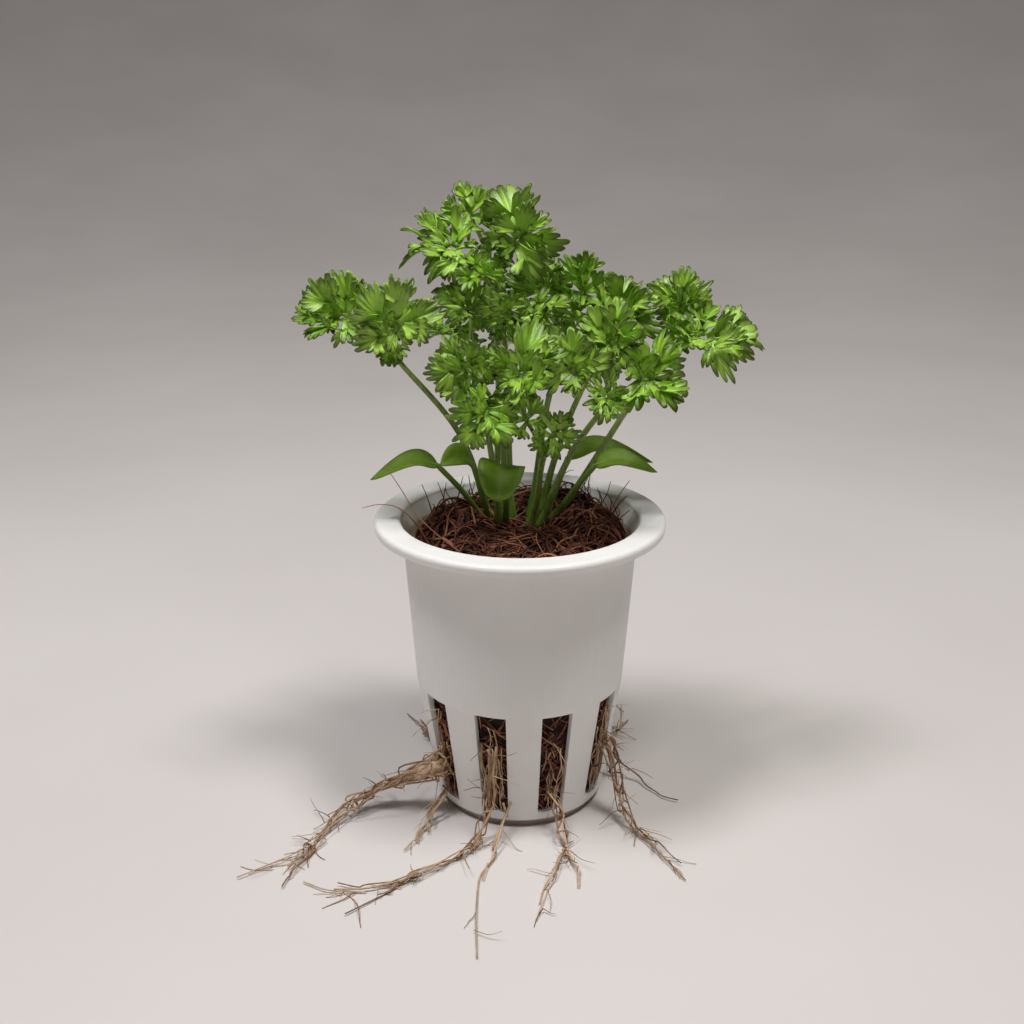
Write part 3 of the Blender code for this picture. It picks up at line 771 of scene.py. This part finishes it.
# How much longer or shorter than planned the arms of some leaflets have grown, in the order of their plan
ARM_GROWTH = {
    "leaf_left_leaflet_1": (1.0, 1.1, 1.1, 0.5, 1.0, 0.9),
    "leaf_left_leaflet_2": (1.0, 1.0, 0.85, 1.15, 0.75, 1.0),
    "leaf_top_leaflet_1": (0.95, 0.95, 0.75, 1.1, 1.0, 1.0),
    "leaf_top_leaflet_3": (0.78, 1.12, 1.25, 1.15, 1.1, 1.0),
    "leaf_front_leaflet_1": (0.8, 0.9, 1.0, 1.0, 1.0, 1.0),
    "leaf_far_right_leaflet_2": (1.0, 0.95, 1.25, 1.3, 1.15, 1.0),
    "leaf_front_right_leaflet_1": (1.0, 1.0, 1.0, 1.0, 0.7, 0.7),
    "leaf_front_right_leaflet_4": (0.75, 0.8, 0.8, 1.0, 1.0),
}
VISUAL_SCALE = 1.06  # length of a leaflet's look beside its CAD solid's
SPINE = 0.34  # length of a leaflet's spine, as a share of the leaflet's
LEAFLET_LIFT_DEG = 14
FORK_LIFT_DEG = 26


def rosette(shape, rng, place, axes, length, plan, lift_deg, tooth_width, growth):
    """Arms along a short spine, lifted in turn by more and by less, so that neighbours overlap."""
    along, _, up = axes
    tone = rng.uniform(0.1, 0.8)
    for number, (heading_deg, size, station) in enumerate(plan):
        start = place + along * SPINE * length * station + up * 0.2 * MM
        heading = math.radians(heading_deg + rng.uniform(-9, 9))
        lift = math.radians(lift_deg + rng.uniform(-16, 18) + (12 if number % 2 else -6))
        axes_here = turned(axes, heading, lift, random_angle(rng, -22, 22))
        reach = length * size * growth[number] * rng.uniform(0.92, 1.10)
        arm(shape, rng, start, axes_here, reach, tooth_width, tone)


def make_leaflet(name, leaf, blade, rng, material):
    """A leaflet on its short spine. A leaf's first leaflet also has the curls that hide the fork."""
    shape = Shape()
    place = vec(*blade.place) * MM
    axes = directions(blade.heading, blade.facing)
    along, _, up = axes
    length = blade.length * MM * VISUAL_SCALE
    spine = [
        place - up * 0.3 * MM,
        place + along * 0.2 * length,
        place + along * SPINE * length + up * 0.2 * MM,
    ]
    tapered(shape, spine, 6, 0.42 * MM, 0.22 * MM, 6, tone=0.9)
    plan = FULL_LEAFLET if blade.length > LONGEST_SMALL_LEAFLET else SMALL_LEAFLET
    tooth_width = BROAD_TOOTH if "front_right" in name else FINE_TOOTH
    usual = (1.0,) * len(plan)
    growth = ARM_GROWTH.get(name, usual)
    rosette(shape, rng, place, axes, length, plan, LEAFLET_LIFT_DEG, tooth_width, growth)
    if blade is leaf.blades[0]:
        tip = vec(*leaf.tip) * MM
        facing = unit(sum(vec(*other.facing) for other in leaf.blades))
        middle = sum(vec(*other.place) for other in leaf.blades) * MM / len(leaf.blades)
        centre = tip + (middle - tip) * 0.45
        size = 0.60 * sum(other.length for other in leaf.blades) / len(leaf.blades) * MM
        axes = directions(unit(middle - tip), facing)
        rosette(shape, rng, centre, axes, size, FORK_ARMS, FORK_LIFT_DEG, tooth_width, usual)
    shape.build(name, material, (name,))


STALK_STEPS = 20
# Shares of a stalk's length, and its radius there in millimetres: swollen at the foot, thin at the tip
STALK_SHARES = (0, 0.05, 0.16, 0.5, 1)
STALK_RADII = (1.25, 1.15, 0.68, 0.60, 0.50)


def make_stalk(name, leaf, rng, material):
    """A grooved stalk with a fine branch to each leaflet."""
    shape = Shape()
    base = seat_place(leaf.crown, leaf.seat) - vec(0, 0, STALK_DEPTH)
    tip = vec(*leaf.tip) * MM
    lean = tip - base
    middle = base + lean * vec(0.42, 0.42, 0.5) + vec(*leaf.bow) * MM
    route = smooth_route([base, middle, tip], STALK_STEPS)
    route[:, 0] += 0.12 * MM * np.sin(np.linspace(0, 9, STALK_STEPS + 1) + rng.uniform(0, 6))
    radii = np.interp(np.linspace(0, 1, STALK_STEPS + 1), STALK_SHARES, STALK_RADII) * MM
    tube(shape, route, radii, 12, tone=rng.uniform(0, 1), ridges=0.10)
    start = tip - unit(lean) * 1.2 * MM
    for blade in leaf.blades:
        place = vec(*blade.place) * MM
        _, _, up = directions(blade.heading, blade.facing)
        reach = np.linalg.norm(place - start)
        bend = (start + place) / 2 - up * 0.15 * reach + unit(lean) * 0.1 * reach
        tapered(shape, [start, bend, place], 8, 0.48 * MM, 0.40 * MM, 8, tone=0.5, ridges=0.08)
    shape.build(name, material, (name,))


ROUND_SEED_LEAF = 7.0  # seed leaves wider than this, in millimetres, have a rounder outline
ROUND_OUTLINE = (0.95, 0.42)  # powers that set where a seed leaf is widest and how blunt its ends are
STRAP_OUTLINE = (0.8, 0.75)
SEED_LEAF_COLUMNS = 9
SEED_LEAF_THICKNESS = 0.4 * MM


def make_seed_leaf(name, leaf, material):
    """A smooth strap on a thin stalk, arched along its length and a little cupped, with a sunk midrib."""
    shape = Shape()
    start = seat_place(leaf.crown, leaf.seat) - vec(0, 0, STALK_DEPTH)
    base, crest, tip = (vec(*point) * MM for point in (leaf.base, leaf.crest, leaf.tip))
    bow = (start + base) / 2 + vec(0, 0, 0.6 * MM)
    stalk = smooth_route([start, bow, base], 12)
    blade = smooth_route([base, crest, tip], 18)
    radii = np.interp(np.arange(16), [0, 2, 12, 15], [0.7, 0.55, 0.5, 0.2]) * MM
    tube(shape, np.vstack([stalk, blade[1:4]]), radii, 8, tone=0.2)
    half = leaf.width / 2 * MM
    rise, blunt = ROUND_OUTLINE if leaf.width > ROUND_SEED_LEAF else STRAP_OUTLINE
    u = np.linspace(-1, 1, SEED_LEAF_COLUMNS)
    last = len(blade) - 1
    rows = []
    values = []
    for row, place in enumerate(blade):
        share = row / last
        ahead = unit(blade[min(row + 1, last)] - blade[max(row - 1, 0)])
        _, across, up = directions(ahead, leaf.facing)
        width = 0.45 * MM * (1 - share) + half * max(math.sin(math.pi * share**rise), 0) ** blunt
        if row == last:
            width = 0.08 * MM
        fold = 0.20 * width * np.abs(u) ** 1.5 - 0.05 * width * np.exp(-((u / 0.12) ** 2))
        rows.append(place + u[:, None] * width * across + fold[:, None] * up)
        edge = np.abs(u) ** 8
        vein = np.exp(-((u / 0.10) ** 2))
        values.append(np.stack([vein, edge, np.full(SEED_LEAF_COLUMNS, 0.2)], -1))
    shell(shape, np.array(rows), SEED_LEAF_THICKNESS, np.array(values))
    shape.build(name, material, (name,))


# ---------------------------------------------------------------- coir


def wall_radius(height):
    """Outside radius of the cup's wall at this height."""
    low = BASE_RADIUS + (KNEE_RADIUS - BASE_RADIUS) * (height - FOOT_HEIGHT) / (KNEE_HEIGHT - FOOT_HEIGHT)
    top = CUP_HEIGHT - RIM_EDGE
    high = KNEE_RADIUS + (NECK_RADIUS - KNEE_RADIUS) * (height - KNEE_HEIGHT) / (top - KNEE_HEIGHT)
    return np.where(height < KNEE_HEIGHT, low, high)


SHOULDER_START = 13.0 * MM  # distance from the cup's axis at which the coir's top starts to round down
SHOULDER_WIDTH = 7.6 * MM
SHOULDER_DROP = 5.5 * MM
# Rises and dips of the coir's top: place in x and y, rise, width, all in millimetres
MOUNDS = (
    (13.5, 1.0, 3.4, 6.5), (9.0, 12.0, 3.8, 5.5), (-12.5, 3.0, 3.0, 6.0), (-6.0, 13.0, 3.0, 5.5),
    (1.0, 1.0, -1.8, 6.0), (2.0, -14.5, -0.9, 6.0), (-15.5, -9.0, -1.6, 5.0), (2.0, 16.0, 2.0, 4.0),
)


def coir_height(x, y):
    """Height of the coir's loose top at a place, all in metres."""
    shoulder = np.clip((np.hypot(x, y) - SHOULDER_START) / SHOULDER_WIDTH, 0, 1)
    height = PLUG_CROWN - 0.6 * MM - SHOULDER_DROP * (1 - np.sqrt(np.clip(1 - shoulder**2, 0, 1)))
    for mx, my, rise, width in MOUNDS:
        height = height + rise * MM * np.exp(-((x - mx * MM) ** 2 + (y - my * MM) ** 2) / (width * MM) ** 2)
    return height


CORE_SIDES = 120
CORE_TOP_RADII = np.linspace(0.3, 20.2, 30) * MM  # rings from the middle of the top outwards
CORE_WALL_HEIGHTS = np.linspace(46, 3.4, 44) * MM  # rings down the wall
CORE_BELOW_FIBRES = 0.9 * MM


def make_coir_core(rng, material):
    """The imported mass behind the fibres, rough all over, that closes the view into the cup."""
    shape = Shape()
    angle = np.arange(CORE_SIDES) * 2 * math.pi / CORE_SIDES
    rings = []
    for r in CORE_TOP_RADII:
        x, y = r * np.cos(angle), r * np.sin(angle)
        rough = rng.uniform(-0.5, 0.5, CORE_SIDES) * MM
        rings.append(np.stack([x, y, coir_height(x, y) - CORE_BELOW_FIBRES + rough], -1))
    for z in CORE_WALL_HEIGHTS:
        r = wall_radius(z) - WALL - 0.5 * MM + rng.uniform(-0.35, 0.25, CORE_SIDES) * MM
        rings.append(np.stack([r * np.cos(angle), r * np.sin(angle), np.full(CORE_SIDES, z)], -1))
    faces = quads_between(len(rings), CORE_SIDES) + end_caps(len(rings), CORE_SIDES)
    points = np.concatenate(rings)
    shape.add(points, [turned_over(face) for face in faces], np.zeros((len(points), 3)))
    shape.build("coir_core", material, ("coir_plug",))


TOP_FIBRES = 900
STANDING_SHARE = 0.10
SLOT_FIBRES = 900
# Hairs that stand up out of the coir near the rim: place in x and y, height and lean, in millimetres
TALL_HAIRS = (
    (-16.5, 3.0, 7.0, (-2.2, 0.5)), (-16.0, 4.5, 5.6, (1.6, 0.5)), (-12.5, 9.0, 6.5, (1.4, 1.0)),
    (-14.0, 6.5, 5.2, (-2.0, 2.0)), (-9.0, 14.0, 5.0, (-1.2, 0.6)), (12.0, 12.5, 4.4, (1.6, 0.5)),
    (10.0, 14.5, 4.0, (-1.8, 1.2)), (13.6, 9.5, 7.0, (0.4, 1.0)), (15.0, 7.5, 5.2, (-2.4, 0.6)),
    (15.0, 8.6, 6.4, (2.8, 0.4)), (16.2, 6.0, 5.4, (-0.8, -0.4)), (17.0, 5.0, 7.5, (4.2, 1.0)),
    (17.0, 3.2, 4.6, (0.2, 0.0)), (16.8, 0.5, 5.2, (3.2, -0.6)), (17.8, -2.0, 4.2, (2.8, 0.6)),
)
# Long hairs that cross the rim, from the free end down to the coir, in millimetres
LONG_HAIRS = (
    (
        (-24.3, -8.0, 70.0), (-21.4, -8.6, 65.6), (-18.9, -9.4, 61.4), (-15.6, -11.0, 58.4),
        (-10.5, -13.6, 55.2),
    ),
    (
        (-29.0, -5.6, 61.0), (-26.0, -5.4, 61.6), (-22.6, -5.2, 61.0), (-19.6, -5.0, 58.2),
        (-16.5, -5.0, 53.0),
    ),
)


def make_coir_fibres(rng, material):
    """The loose fibres on the coir's top and in the slots."""
    shape = Shape()
    for _ in range(TOP_FIBRES):
        top_fibre(shape, rng, standing=rng.uniform() < STANDING_SHARE)
    for x, y, height, lean in TALL_HAIRS:
        place = vec(x, y, 0) * MM
        place[2] = coir_height(place[0], place[1]) - 0.5 * MM
        tip = place + vec(lean[0], lean[1], height) * MM
        sag = (place + tip) / 2 + vec(rng.uniform(-0.6, 0.6), rng.uniform(-0.6, 0.6), 0.5) * MM
        tapered(shape, [place, sag, tip], 10, 0.15 * MM, 0.07 * MM, 5, tone=rng.uniform(0.2, 0.6))
    for points in LONG_HAIRS:
        tapered(shape, np.array(points) * MM, 24, 0.06 * MM, 0.16 * MM, 6, tone=0.6)
    for number in range(SLOT_FIBRES):
        slot_fibre(shape, rng, number)
    shape.build("coir_fibres", material)


FIBRE_STEPS = 7
TOP_RADIUS = 20.0 * MM  # fibres start within this distance of the cup's axis
TOP_LIMIT = 20.5 * MM  # and stay within this one, inside the wall


def top_fibre(shape, rng, standing):
    """A curled fibre lying on the coir's top, or standing out of it."""
    r = TOP_RADIUS * math.sqrt(rng.uniform(0, 1))
    angle = rng.uniform(0, 2 * math.pi)
    x, y = r * math.cos(angle), r * math.sin(angle)
    length = rng.uniform(4, 13) * MM
    heading = rng.uniform(0, 2 * math.pi)
    bend = rng.normal(0, 1.9)
    layer = rng.uniform(-0.9, 0.7) * MM
    arch = rng.uniform(-0.3, 1.7) * MM
    stride = length / FIBRE_STEPS * (0.4 if standing else 1)
    route = []
    for share in np.linspace(0, 1, FIBRE_STEPS + 1):
        heading += bend / FIBRE_STEPS + rng.normal(0, 0.18)
        z = coir_height(x, y) + layer + arch * math.sin(math.pi * share)
        if standing:
            z += length * 0.40 * share**1.3
        reach = math.hypot(x, y)
        if reach > TOP_LIMIT:
            x, y = x * TOP_LIMIT / reach, y * TOP_LIMIT / reach
        route.append((x, y, z))
        x += math.cos(heading) * stride
        y += math.sin(heading) * stride
    thick = (0.11 if standing else rng.uniform(0.12, 0.30)) * MM
    tapered(shape, route, 12, thick, thick * 0.5, 5, tone=rng.beta(1.3, 2.4))


LOWEST_FIBRE = 3.0 * MM
HIGHEST_SLOT_FIBRE = 25.6 * MM


def slot_fibre(shape, rng, number):
    """A fibre pressed against a slot from inside, some of them bulging a little into it."""
    z = rng.uniform(3.6, 25.0) * MM
    slot = rng.integers(SLOT_COUNT)
    aside = rng.uniform(-1, 1) * SLOT_WIDTH_DEG * 0.55
    turn = math.radians(FIRST_SLOT_TURN + SLOT_STEP_DEG * slot + aside)
    length = rng.uniform(2.5, 9) * MM
    climb = rng.uniform(-1, 1)
    drift = rng.uniform(-1, 1)
    out = rng.uniform(0, 1) ** 2 * 1.3 * MM
    route = []
    for share in np.linspace(0, 1, 6):
        height = min(max(z + climb * length * (share - 0.5), LOWEST_FIBRE), HIGHEST_SLOT_FIBRE)
        r = float(wall_radius(height)) - WALL - 0.35 * MM
        at = turn + drift * length * (share - 0.5) / r
        # How far the point is from the middle of its slot: 0 there, 1 at the slot's edges
        past = (math.degrees(at) - FIRST_SLOT_TURN + SLOT_STEP_DEG / 2) % SLOT_STEP_DEG
        off_middle = abs(past - SLOT_STEP_DEG / 2) / (SLOT_WIDTH_DEG / 2)
        r += out * max(0.0, 1 - off_middle**2) ** 0.5 + 0.25 * MM * math.sin(3 * share + number)
        route.append((r * math.sin(at), -r * math.cos(at), height))
    thick = rng.uniform(0.08, 0.22) * MM
    tapered(shape, route, 8, thick, thick * 0.6, 4, tone=rng.beta(1.8, 2.0))


# ---------------------------------------------------------------- roots

# How many long strands and short rootlets each root has
STRANDS = {
    "left": (13, 60), "left_fork": (2, 5), "left_low": (3, 12), "front_left": (7, 34),
    "front_left_fork": (2, 5), "front": (2, 5), "front_right": (5, 20), "front_right_fork": (2, 5),
    "right": (7, 40), "right_side": (2, 8), "back_right": (4, 14), "back": (4, 14), "back_left": (4, 12),
}
MATTED = "left"  # the one root whose start is felted into a mat
STRAND_FLOOR = 0.22 * MM  # how close to the floor the middle of a strand comes
ROOTLET_FLOOR = 0.18 * MM
MAT_FLOOR = 0.05 * MM


def strand_route(rng, spine, side, over, room, stop, stray):
    """A wandering route within the bundle's room, with a few bends, that may leave it at its end."""
    bends = max(4, int(stop / 2.6))
    shares = np.sort(np.concatenate([[0, 1], rng.uniform(0.06, 0.94, bends)]))
    places = []
    for share in shares:
        at = share * stop
        low = min(int(at), len(spine) - 2)
        part = at - low
        middle = spine[low] * (1 - part) + spine[low + 1] * part
        size = room[low] * (1 - part) + room[low + 1] * part
        turn = rng.uniform(0, 2 * math.pi)
        spread = rng.uniform(0.35, 1.1) * size
        away = stray * (at / len(spine)) ** 2.5
        place = middle + side[low] * (spread * math.cos(turn) + away) + over[low] * spread * math.sin(turn)
        place[2] = max(place[2], STRAND_FLOOR)
        places.append(place)
    return np.array(places)


def rootlet(shape, rng, place, ahead, wild):
    """A short side root that leaves the bundle and, if it is long enough, comes down to the floor."""
    length = rng.uniform(1.8, 6.5) * MM
    heading = ahead + rng.normal(0, wild, 3)
    heading[2] = rng.normal(-0.05, 0.35) * wild
    heading = unit(heading)
    route = [place.copy()]
    at = place.copy()
    for _ in range(4):
        heading = unit(heading + rng.normal(0, 0.14, 3) + vec(0, 0, -0.06))
        at = at + heading * length / 4
        at[2] = max(at[2], ROOTLET_FLOOR)
        route.append(at.copy())
    thick = rng.uniform(0.07, 0.14) * MM
    tapered(shape, route, 6, thick, thick * 0.45, 4, tone=rng.uniform(0, 0.9))


MAT_SIDES = 20
MAT_HEIGHT = 0.8  # as a share of its width


def mat(shape, rng, spine, radius):
    """The felted start of a thick root: a lumpy sleeve that frays out along the spine."""
    count = len(spine)
    rings = 5 * (count - 1) + 1
    route = smooth_route(spine, rings - 1)
    swell = np.linspace(1.0, 0.12, count) ** 0.9 * rng.uniform(0.70, 1.25, count) * radius
    radii = np.interp(np.linspace(0, 1, rings), np.linspace(0, 1, count), swell)
    lumps = rng.uniform(0.72, 1.22, (rings, MAT_SIDES))
    for _ in range(2):
        lumps = (lumps + np.roll(lumps, 1, 1) + np.roll(lumps, -1, 1)) / 3
        lumps[1:-1] = (lumps[:-2] + lumps[1:-1] + lumps[2:]) / 3
    lumps = 1 + (lumps - lumps.mean()) * 3.0
    _, side, over = cross_sections(route)
    turn = np.arange(MAT_SIDES) * 2 * math.pi / MAT_SIDES
    level = side[:, None] * np.cos(turn)[None, :, None]
    outward = level + over[:, None] * MAT_HEIGHT * np.sin(turn)[None, :, None]
    points = route[:, None] + outward * (radii[:, None] * lumps)[..., None]
    points[..., 2] = np.maximum(points[..., 2], MAT_FLOOR)
    values = np.zeros((rings * MAT_SIDES, 3))
    # Painted shade: the tone is darker where the mat's surface dips in and lighter where it bulges out.
    values[:, 2] = np.clip(0.75 + (lumps.reshape(-1) - 1) * 1.2, 0, 1)
    shape.add(points.reshape(-1, 3), quads_between(rings, MAT_SIDES) + end_caps(rings, MAT_SIDES), values)


# Where the forked roots leave the root they belong to, in millimetres
FORK_STARTS = {
    "left_fork": (-38.6, -23.4, 1.0),
    "front_left_fork": (-18.0, -32.6, 0.9),
    "front_right_fork": (8.2, -25.0, 1.3),
}


def make_root(name, root, rng, material):
    """A bundle of twisted strands that thins out along the root, with short rootlets at its sides."""
    shape = Shape()
    points = list(root.points)
    if name in FORK_STARTS:
        points = [FORK_STARTS[name]] + points
    count = 4 * (len(points) - 1)
    spine = smooth_route(np.array(points, float) * MM, count)
    ahead, side, over = cross_sections(spine)
    share = np.linspace(0, 1, count + 1)
    room = root.radius * MM * 1.5 * (1 - share) ** 1.4 + 0.35 * MM * (1 - 0.6 * share)
    if name == MATTED:
        mat(shape, rng, spine[: count // 2], root.radius * MM)
    strands, rootlets = STRANDS[name]
    for number in range(strands):
        stop = count if number == 0 else max(4, int(count * rng.uniform(0.30, 0.96)))
        stray = rng.normal(0, 2.6) * MM if number else 0.0
        places = strand_route(rng, spine, side, over, room, stop, stray)
        thick = (rng.uniform(0.20, 0.28) if number < 2 else rng.uniform(0.12, 0.24)) * MM
        finer = max(2 * stop, 8)
        radii = np.linspace(thick, thick * 0.5, finer + 1) * rng.uniform(0.82, 1.18, finer + 1)
        route = smooth_route(places, finer)
        route[:, 2] = np.maximum(route[:, 2], radii)
        tube(shape, route, radii, 5, tone=rng.uniform(0, 1))
    for _ in range(rootlets):
        at = int(count * rng.uniform(0, 1) ** 1.4 * 0.95)
        turn = rng.uniform(0, 2 * math.pi)
        start = spine[at] + (side[at] * math.cos(turn) + over[at] * math.sin(turn)) * room[at] * 0.6
        start[2] = max(start[2], 0.2 * MM)
        rootlet(shape, rng, start, ahead[at] * 0.7, 1.0 - 0.5 * share[at])
    shape.build("root_" + name, material, ("root_" + name,))


# Fine roots that run down inside the slots: slot number, how many, and the highest they come from in
# millimetres
SLOT_ROOTS = (
    (0, 6, 22.0), (9, 8, 24.5), (1, 14, 24.5), (8, 9, 24.0), (2, 6, 20.0), (4, 5, 18.0), (6, 6, 20.0),
)
POKING_SHARE = 0.75


def make_slot_roots(rng, material):
    """Fine roots hanging in the slots, and short ones poking out of them."""
    shape = Shape()
    for slot, count, top in SLOT_ROOTS:
        middle = FIRST_SLOT_TURN + SLOT_STEP_DEG * slot
        for _ in range(count):
            turn = middle + rng.uniform(-0.36, 0.36) * SLOT_WIDTH_DEG
            high = rng.uniform(0.55, 1.0) * top
            low = rng.uniform(3.2, 9.0)
            route = []
            for height in np.linspace(high, low, 7):
                turn += rng.normal(0, 0.9)
                angle = math.radians(turn)
                r = float(wall_radius(height * MM)) - rng.uniform(-0.2, 0.7) * MM
                route.append((r * math.sin(angle), -r * math.cos(angle), height * MM))
            thick = rng.uniform(0.10, 0.22) * MM
            tapered(shape, route, 12, thick, thick * 0.6, 5, tone=rng.uniform(0.3, 1))
            if rng.uniform() < POKING_SHARE:
                angle = math.radians(middle + rng.uniform(-0.3, 0.3) * SLOT_WIDTH_DEG)
                height = rng.uniform(5, 23) * MM
                r = float(wall_radius(height)) - 0.8 * MM
                start = vec(r * math.sin(angle), -r * math.cos(angle), height)
                rootlet(shape, rng, start, vec(math.sin(angle), -math.cos(angle), 0.0), 0.45)
    shape.build("slot_roots", material)


# ---------------------------------------------------------------- the scene

FLOOR_SIDES = 96
FLAT_RADIUS = 0.45
FLAT_RINGS = 6
CURVE_RADIUS = 1.6
CURVE_STEPS = 24
WALL_TOP = 3.0


def make_stage():
    """A pale floor that rises into a round wall, the same from every side."""
    profile = [(FLAT_RADIUS * k / FLAT_RINGS, 0.0) for k in range(1, FLAT_RINGS + 1)]
    for k in range(1, CURVE_STEPS + 1):
        angle = math.pi / 2 * k / CURVE_STEPS
        radius = FLAT_RADIUS + CURVE_RADIUS * math.sin(angle)
        profile.append((radius, CURVE_RADIUS - CURVE_RADIUS * math.cos(angle)))
    profile.append((FLAT_RADIUS + CURVE_RADIUS, WALL_TOP))
    turns = [2 * math.pi * k / FLOOR_SIDES for k in range(FLOOR_SIDES)]
    points = [(r * math.sin(turn), -r * math.cos(turn), z) for r, z in profile for turn in turns]
    faces = [turned_over(face) for face in quads_between(len(profile), FLOOR_SIDES)]
    mesh = bpy.data.meshes.new("floor")
    mesh.from_pydata(points, [], [tuple(range(FLOOR_SIDES))] + faces)
    mesh.shade_smooth()
    mesh.materials.append(floor_material())
    floor = bpy.data.objects.new("floor", mesh)
    bpy.context.scene.collection.objects.link(floor)


def area_light(name, place, target, size, power, colour):
    """A square light that faces its target. power is in watts."""
    data = bpy.data.lights.new(name, "AREA")
    data.shape = "SQUARE"
    data.size = size
    data.energy = power
    data.color = colour
    obj = bpy.data.objects.new(name, data)
    bpy.context.scene.collection.objects.link(obj)
    obj.location = place
    obj.rotation_mode = "QUATERNION"
    obj.rotation_quaternion = (Vector(target) - Vector(place)).to_track_quat("-Z", "Y")


WORLD_COLOUR = (0.95, 0.97, 1.0, 1.0)
WORLD_STRENGTH = 0.055
# Name, place, target, size, power and colour
LIGHTS = (
    ("front_fill", (0.0, -0.42, 0.66), (0.0, 0.0, 0.04), 0.60, 0.45, (1.0, 0.98, 0.95)),
    ("left_window", (-0.25, -0.12, 0.75), (0.0, 0.0, 0.03), 0.17, 3.35, (0.98, 0.98, 1.0)),
    ("right_window", (0.20, -0.13, 0.77), (0.0, 0.0, 0.03), 0.17, 3.4, (1.0, 0.99, 0.97)),
    ("wall_fill", (0.0, 0.45, 1.1), (0.0, 1.6, 0.4), 0.5, 2.4, (1.0, 1.0, 0.98)),
)


def make_lights():
    """Two small windows that cast the two soft shadows, a weak fill, and one light for the wall behind."""
    world = bpy.data.worlds.new("world")
    bpy.context.scene.world = world
    world.use_nodes = True
    background = world.node_tree.nodes["Background"]
    background.inputs["Color"].default_value = WORLD_COLOUR
    background.inputs["Strength"].default_value = WORLD_STRENGTH
    for light in LIGHTS:
        area_light(*light)


def make_camera():
    """In front of the plant, looking down at it."""
    data = bpy.data.cameras.new("camera")
    data.lens = CAMERA_LENS_MM
    data.sensor_width = SENSOR_MM
    data.clip_start = 0.01
    camera = bpy.data.objects.new("camera", data)
    bpy.context.scene.collection.objects.link(camera)
    camera.location = CAMERA_PLACE
    camera.rotation_euler = (math.radians(90 - CAMERA_PITCH_DEG), 0, 0)
    bpy.context.scene.camera = camera


# Dark, middle and light colour of each kind of fibre, and its roughness
COIR_FIBRE = ((0.018, 0.0035, 0.0018), (0.14, 0.035, 0.015), (0.52, 0.22, 0.12), 0.75)
COIR_CORE = ((0.016, 0.005, 0.003), (0.042, 0.013, 0.007), (0.085, 0.03, 0.016), 0.95)
ROOT_FIBRE = ((0.085, 0.038, 0.02), (0.28, 0.155, 0.08), (0.62, 0.45, 0.29), 0.7)
# Seeds of the random sequences. A piece's own number in its table is added to them
STALK_SEED = 100
LEAFLET_SEED = 200
COIR_SEED = 500
ROOT_SEED = 600
SLOT_ROOT_SEED = 700


def make_leaves():
    """The compound leaves and the seed leaves."""
    leaf_look = leaf_material()
    stalk_look = stalk_material()
    for number, (name, leaf) in enumerate(LEAVES.items()):
        make_stalk(f"leaf_{name}_stalk", leaf, np.random.default_rng(STALK_SEED + number), stalk_look)
        for count, blade in enumerate(leaf.blades, 1):
            rng = np.random.default_rng(LEAFLET_SEED + 10 * number + count)
            make_leaflet(f"leaf_{name}_leaflet_{count}", leaf, blade, rng, leaf_look)
    seed_leaf_look = seed_leaf_material()
    for name, leaf in SEED_LEAVES.items():
        make_seed_leaf(f"seed_leaf_{name}", leaf, seed_leaf_look)


def make_coir():
    """The coir's core and its loose fibres, which share one random sequence."""
    rng = np.random.default_rng(COIR_SEED)
    make_coir_core(rng, fibre_material("coir_core", *COIR_CORE))
    make_coir_fibres(rng, fibre_material("coir_fibre", *COIR_FIBRE))


def make_roots():
    """The thirteen roots and the fine ones in the slots."""
    look = fibre_material("root_fibre", *ROOT_FIBRE)
    for number, (name, root) in enumerate(ROOTS.items()):
        make_root(name, root, np.random.default_rng(ROOT_SEED + number), look)
    make_slot_roots(np.random.default_rng(SLOT_ROOT_SEED), look)


def dress_cup():
    """The cup keeps its CAD mesh and gets a new material."""
    cup = cup_material()
    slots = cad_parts["net_cup"].data.materials
    for index in range(len(slots)):
        slots[index] = cup


def main():
    bpy.context.scene.view_settings.view_transform = "Standard"
    dress_cup()
    make_leaves()
    make_coir()
    make_roots()
    make_stage()
    make_lights()
    make_camera()


main()
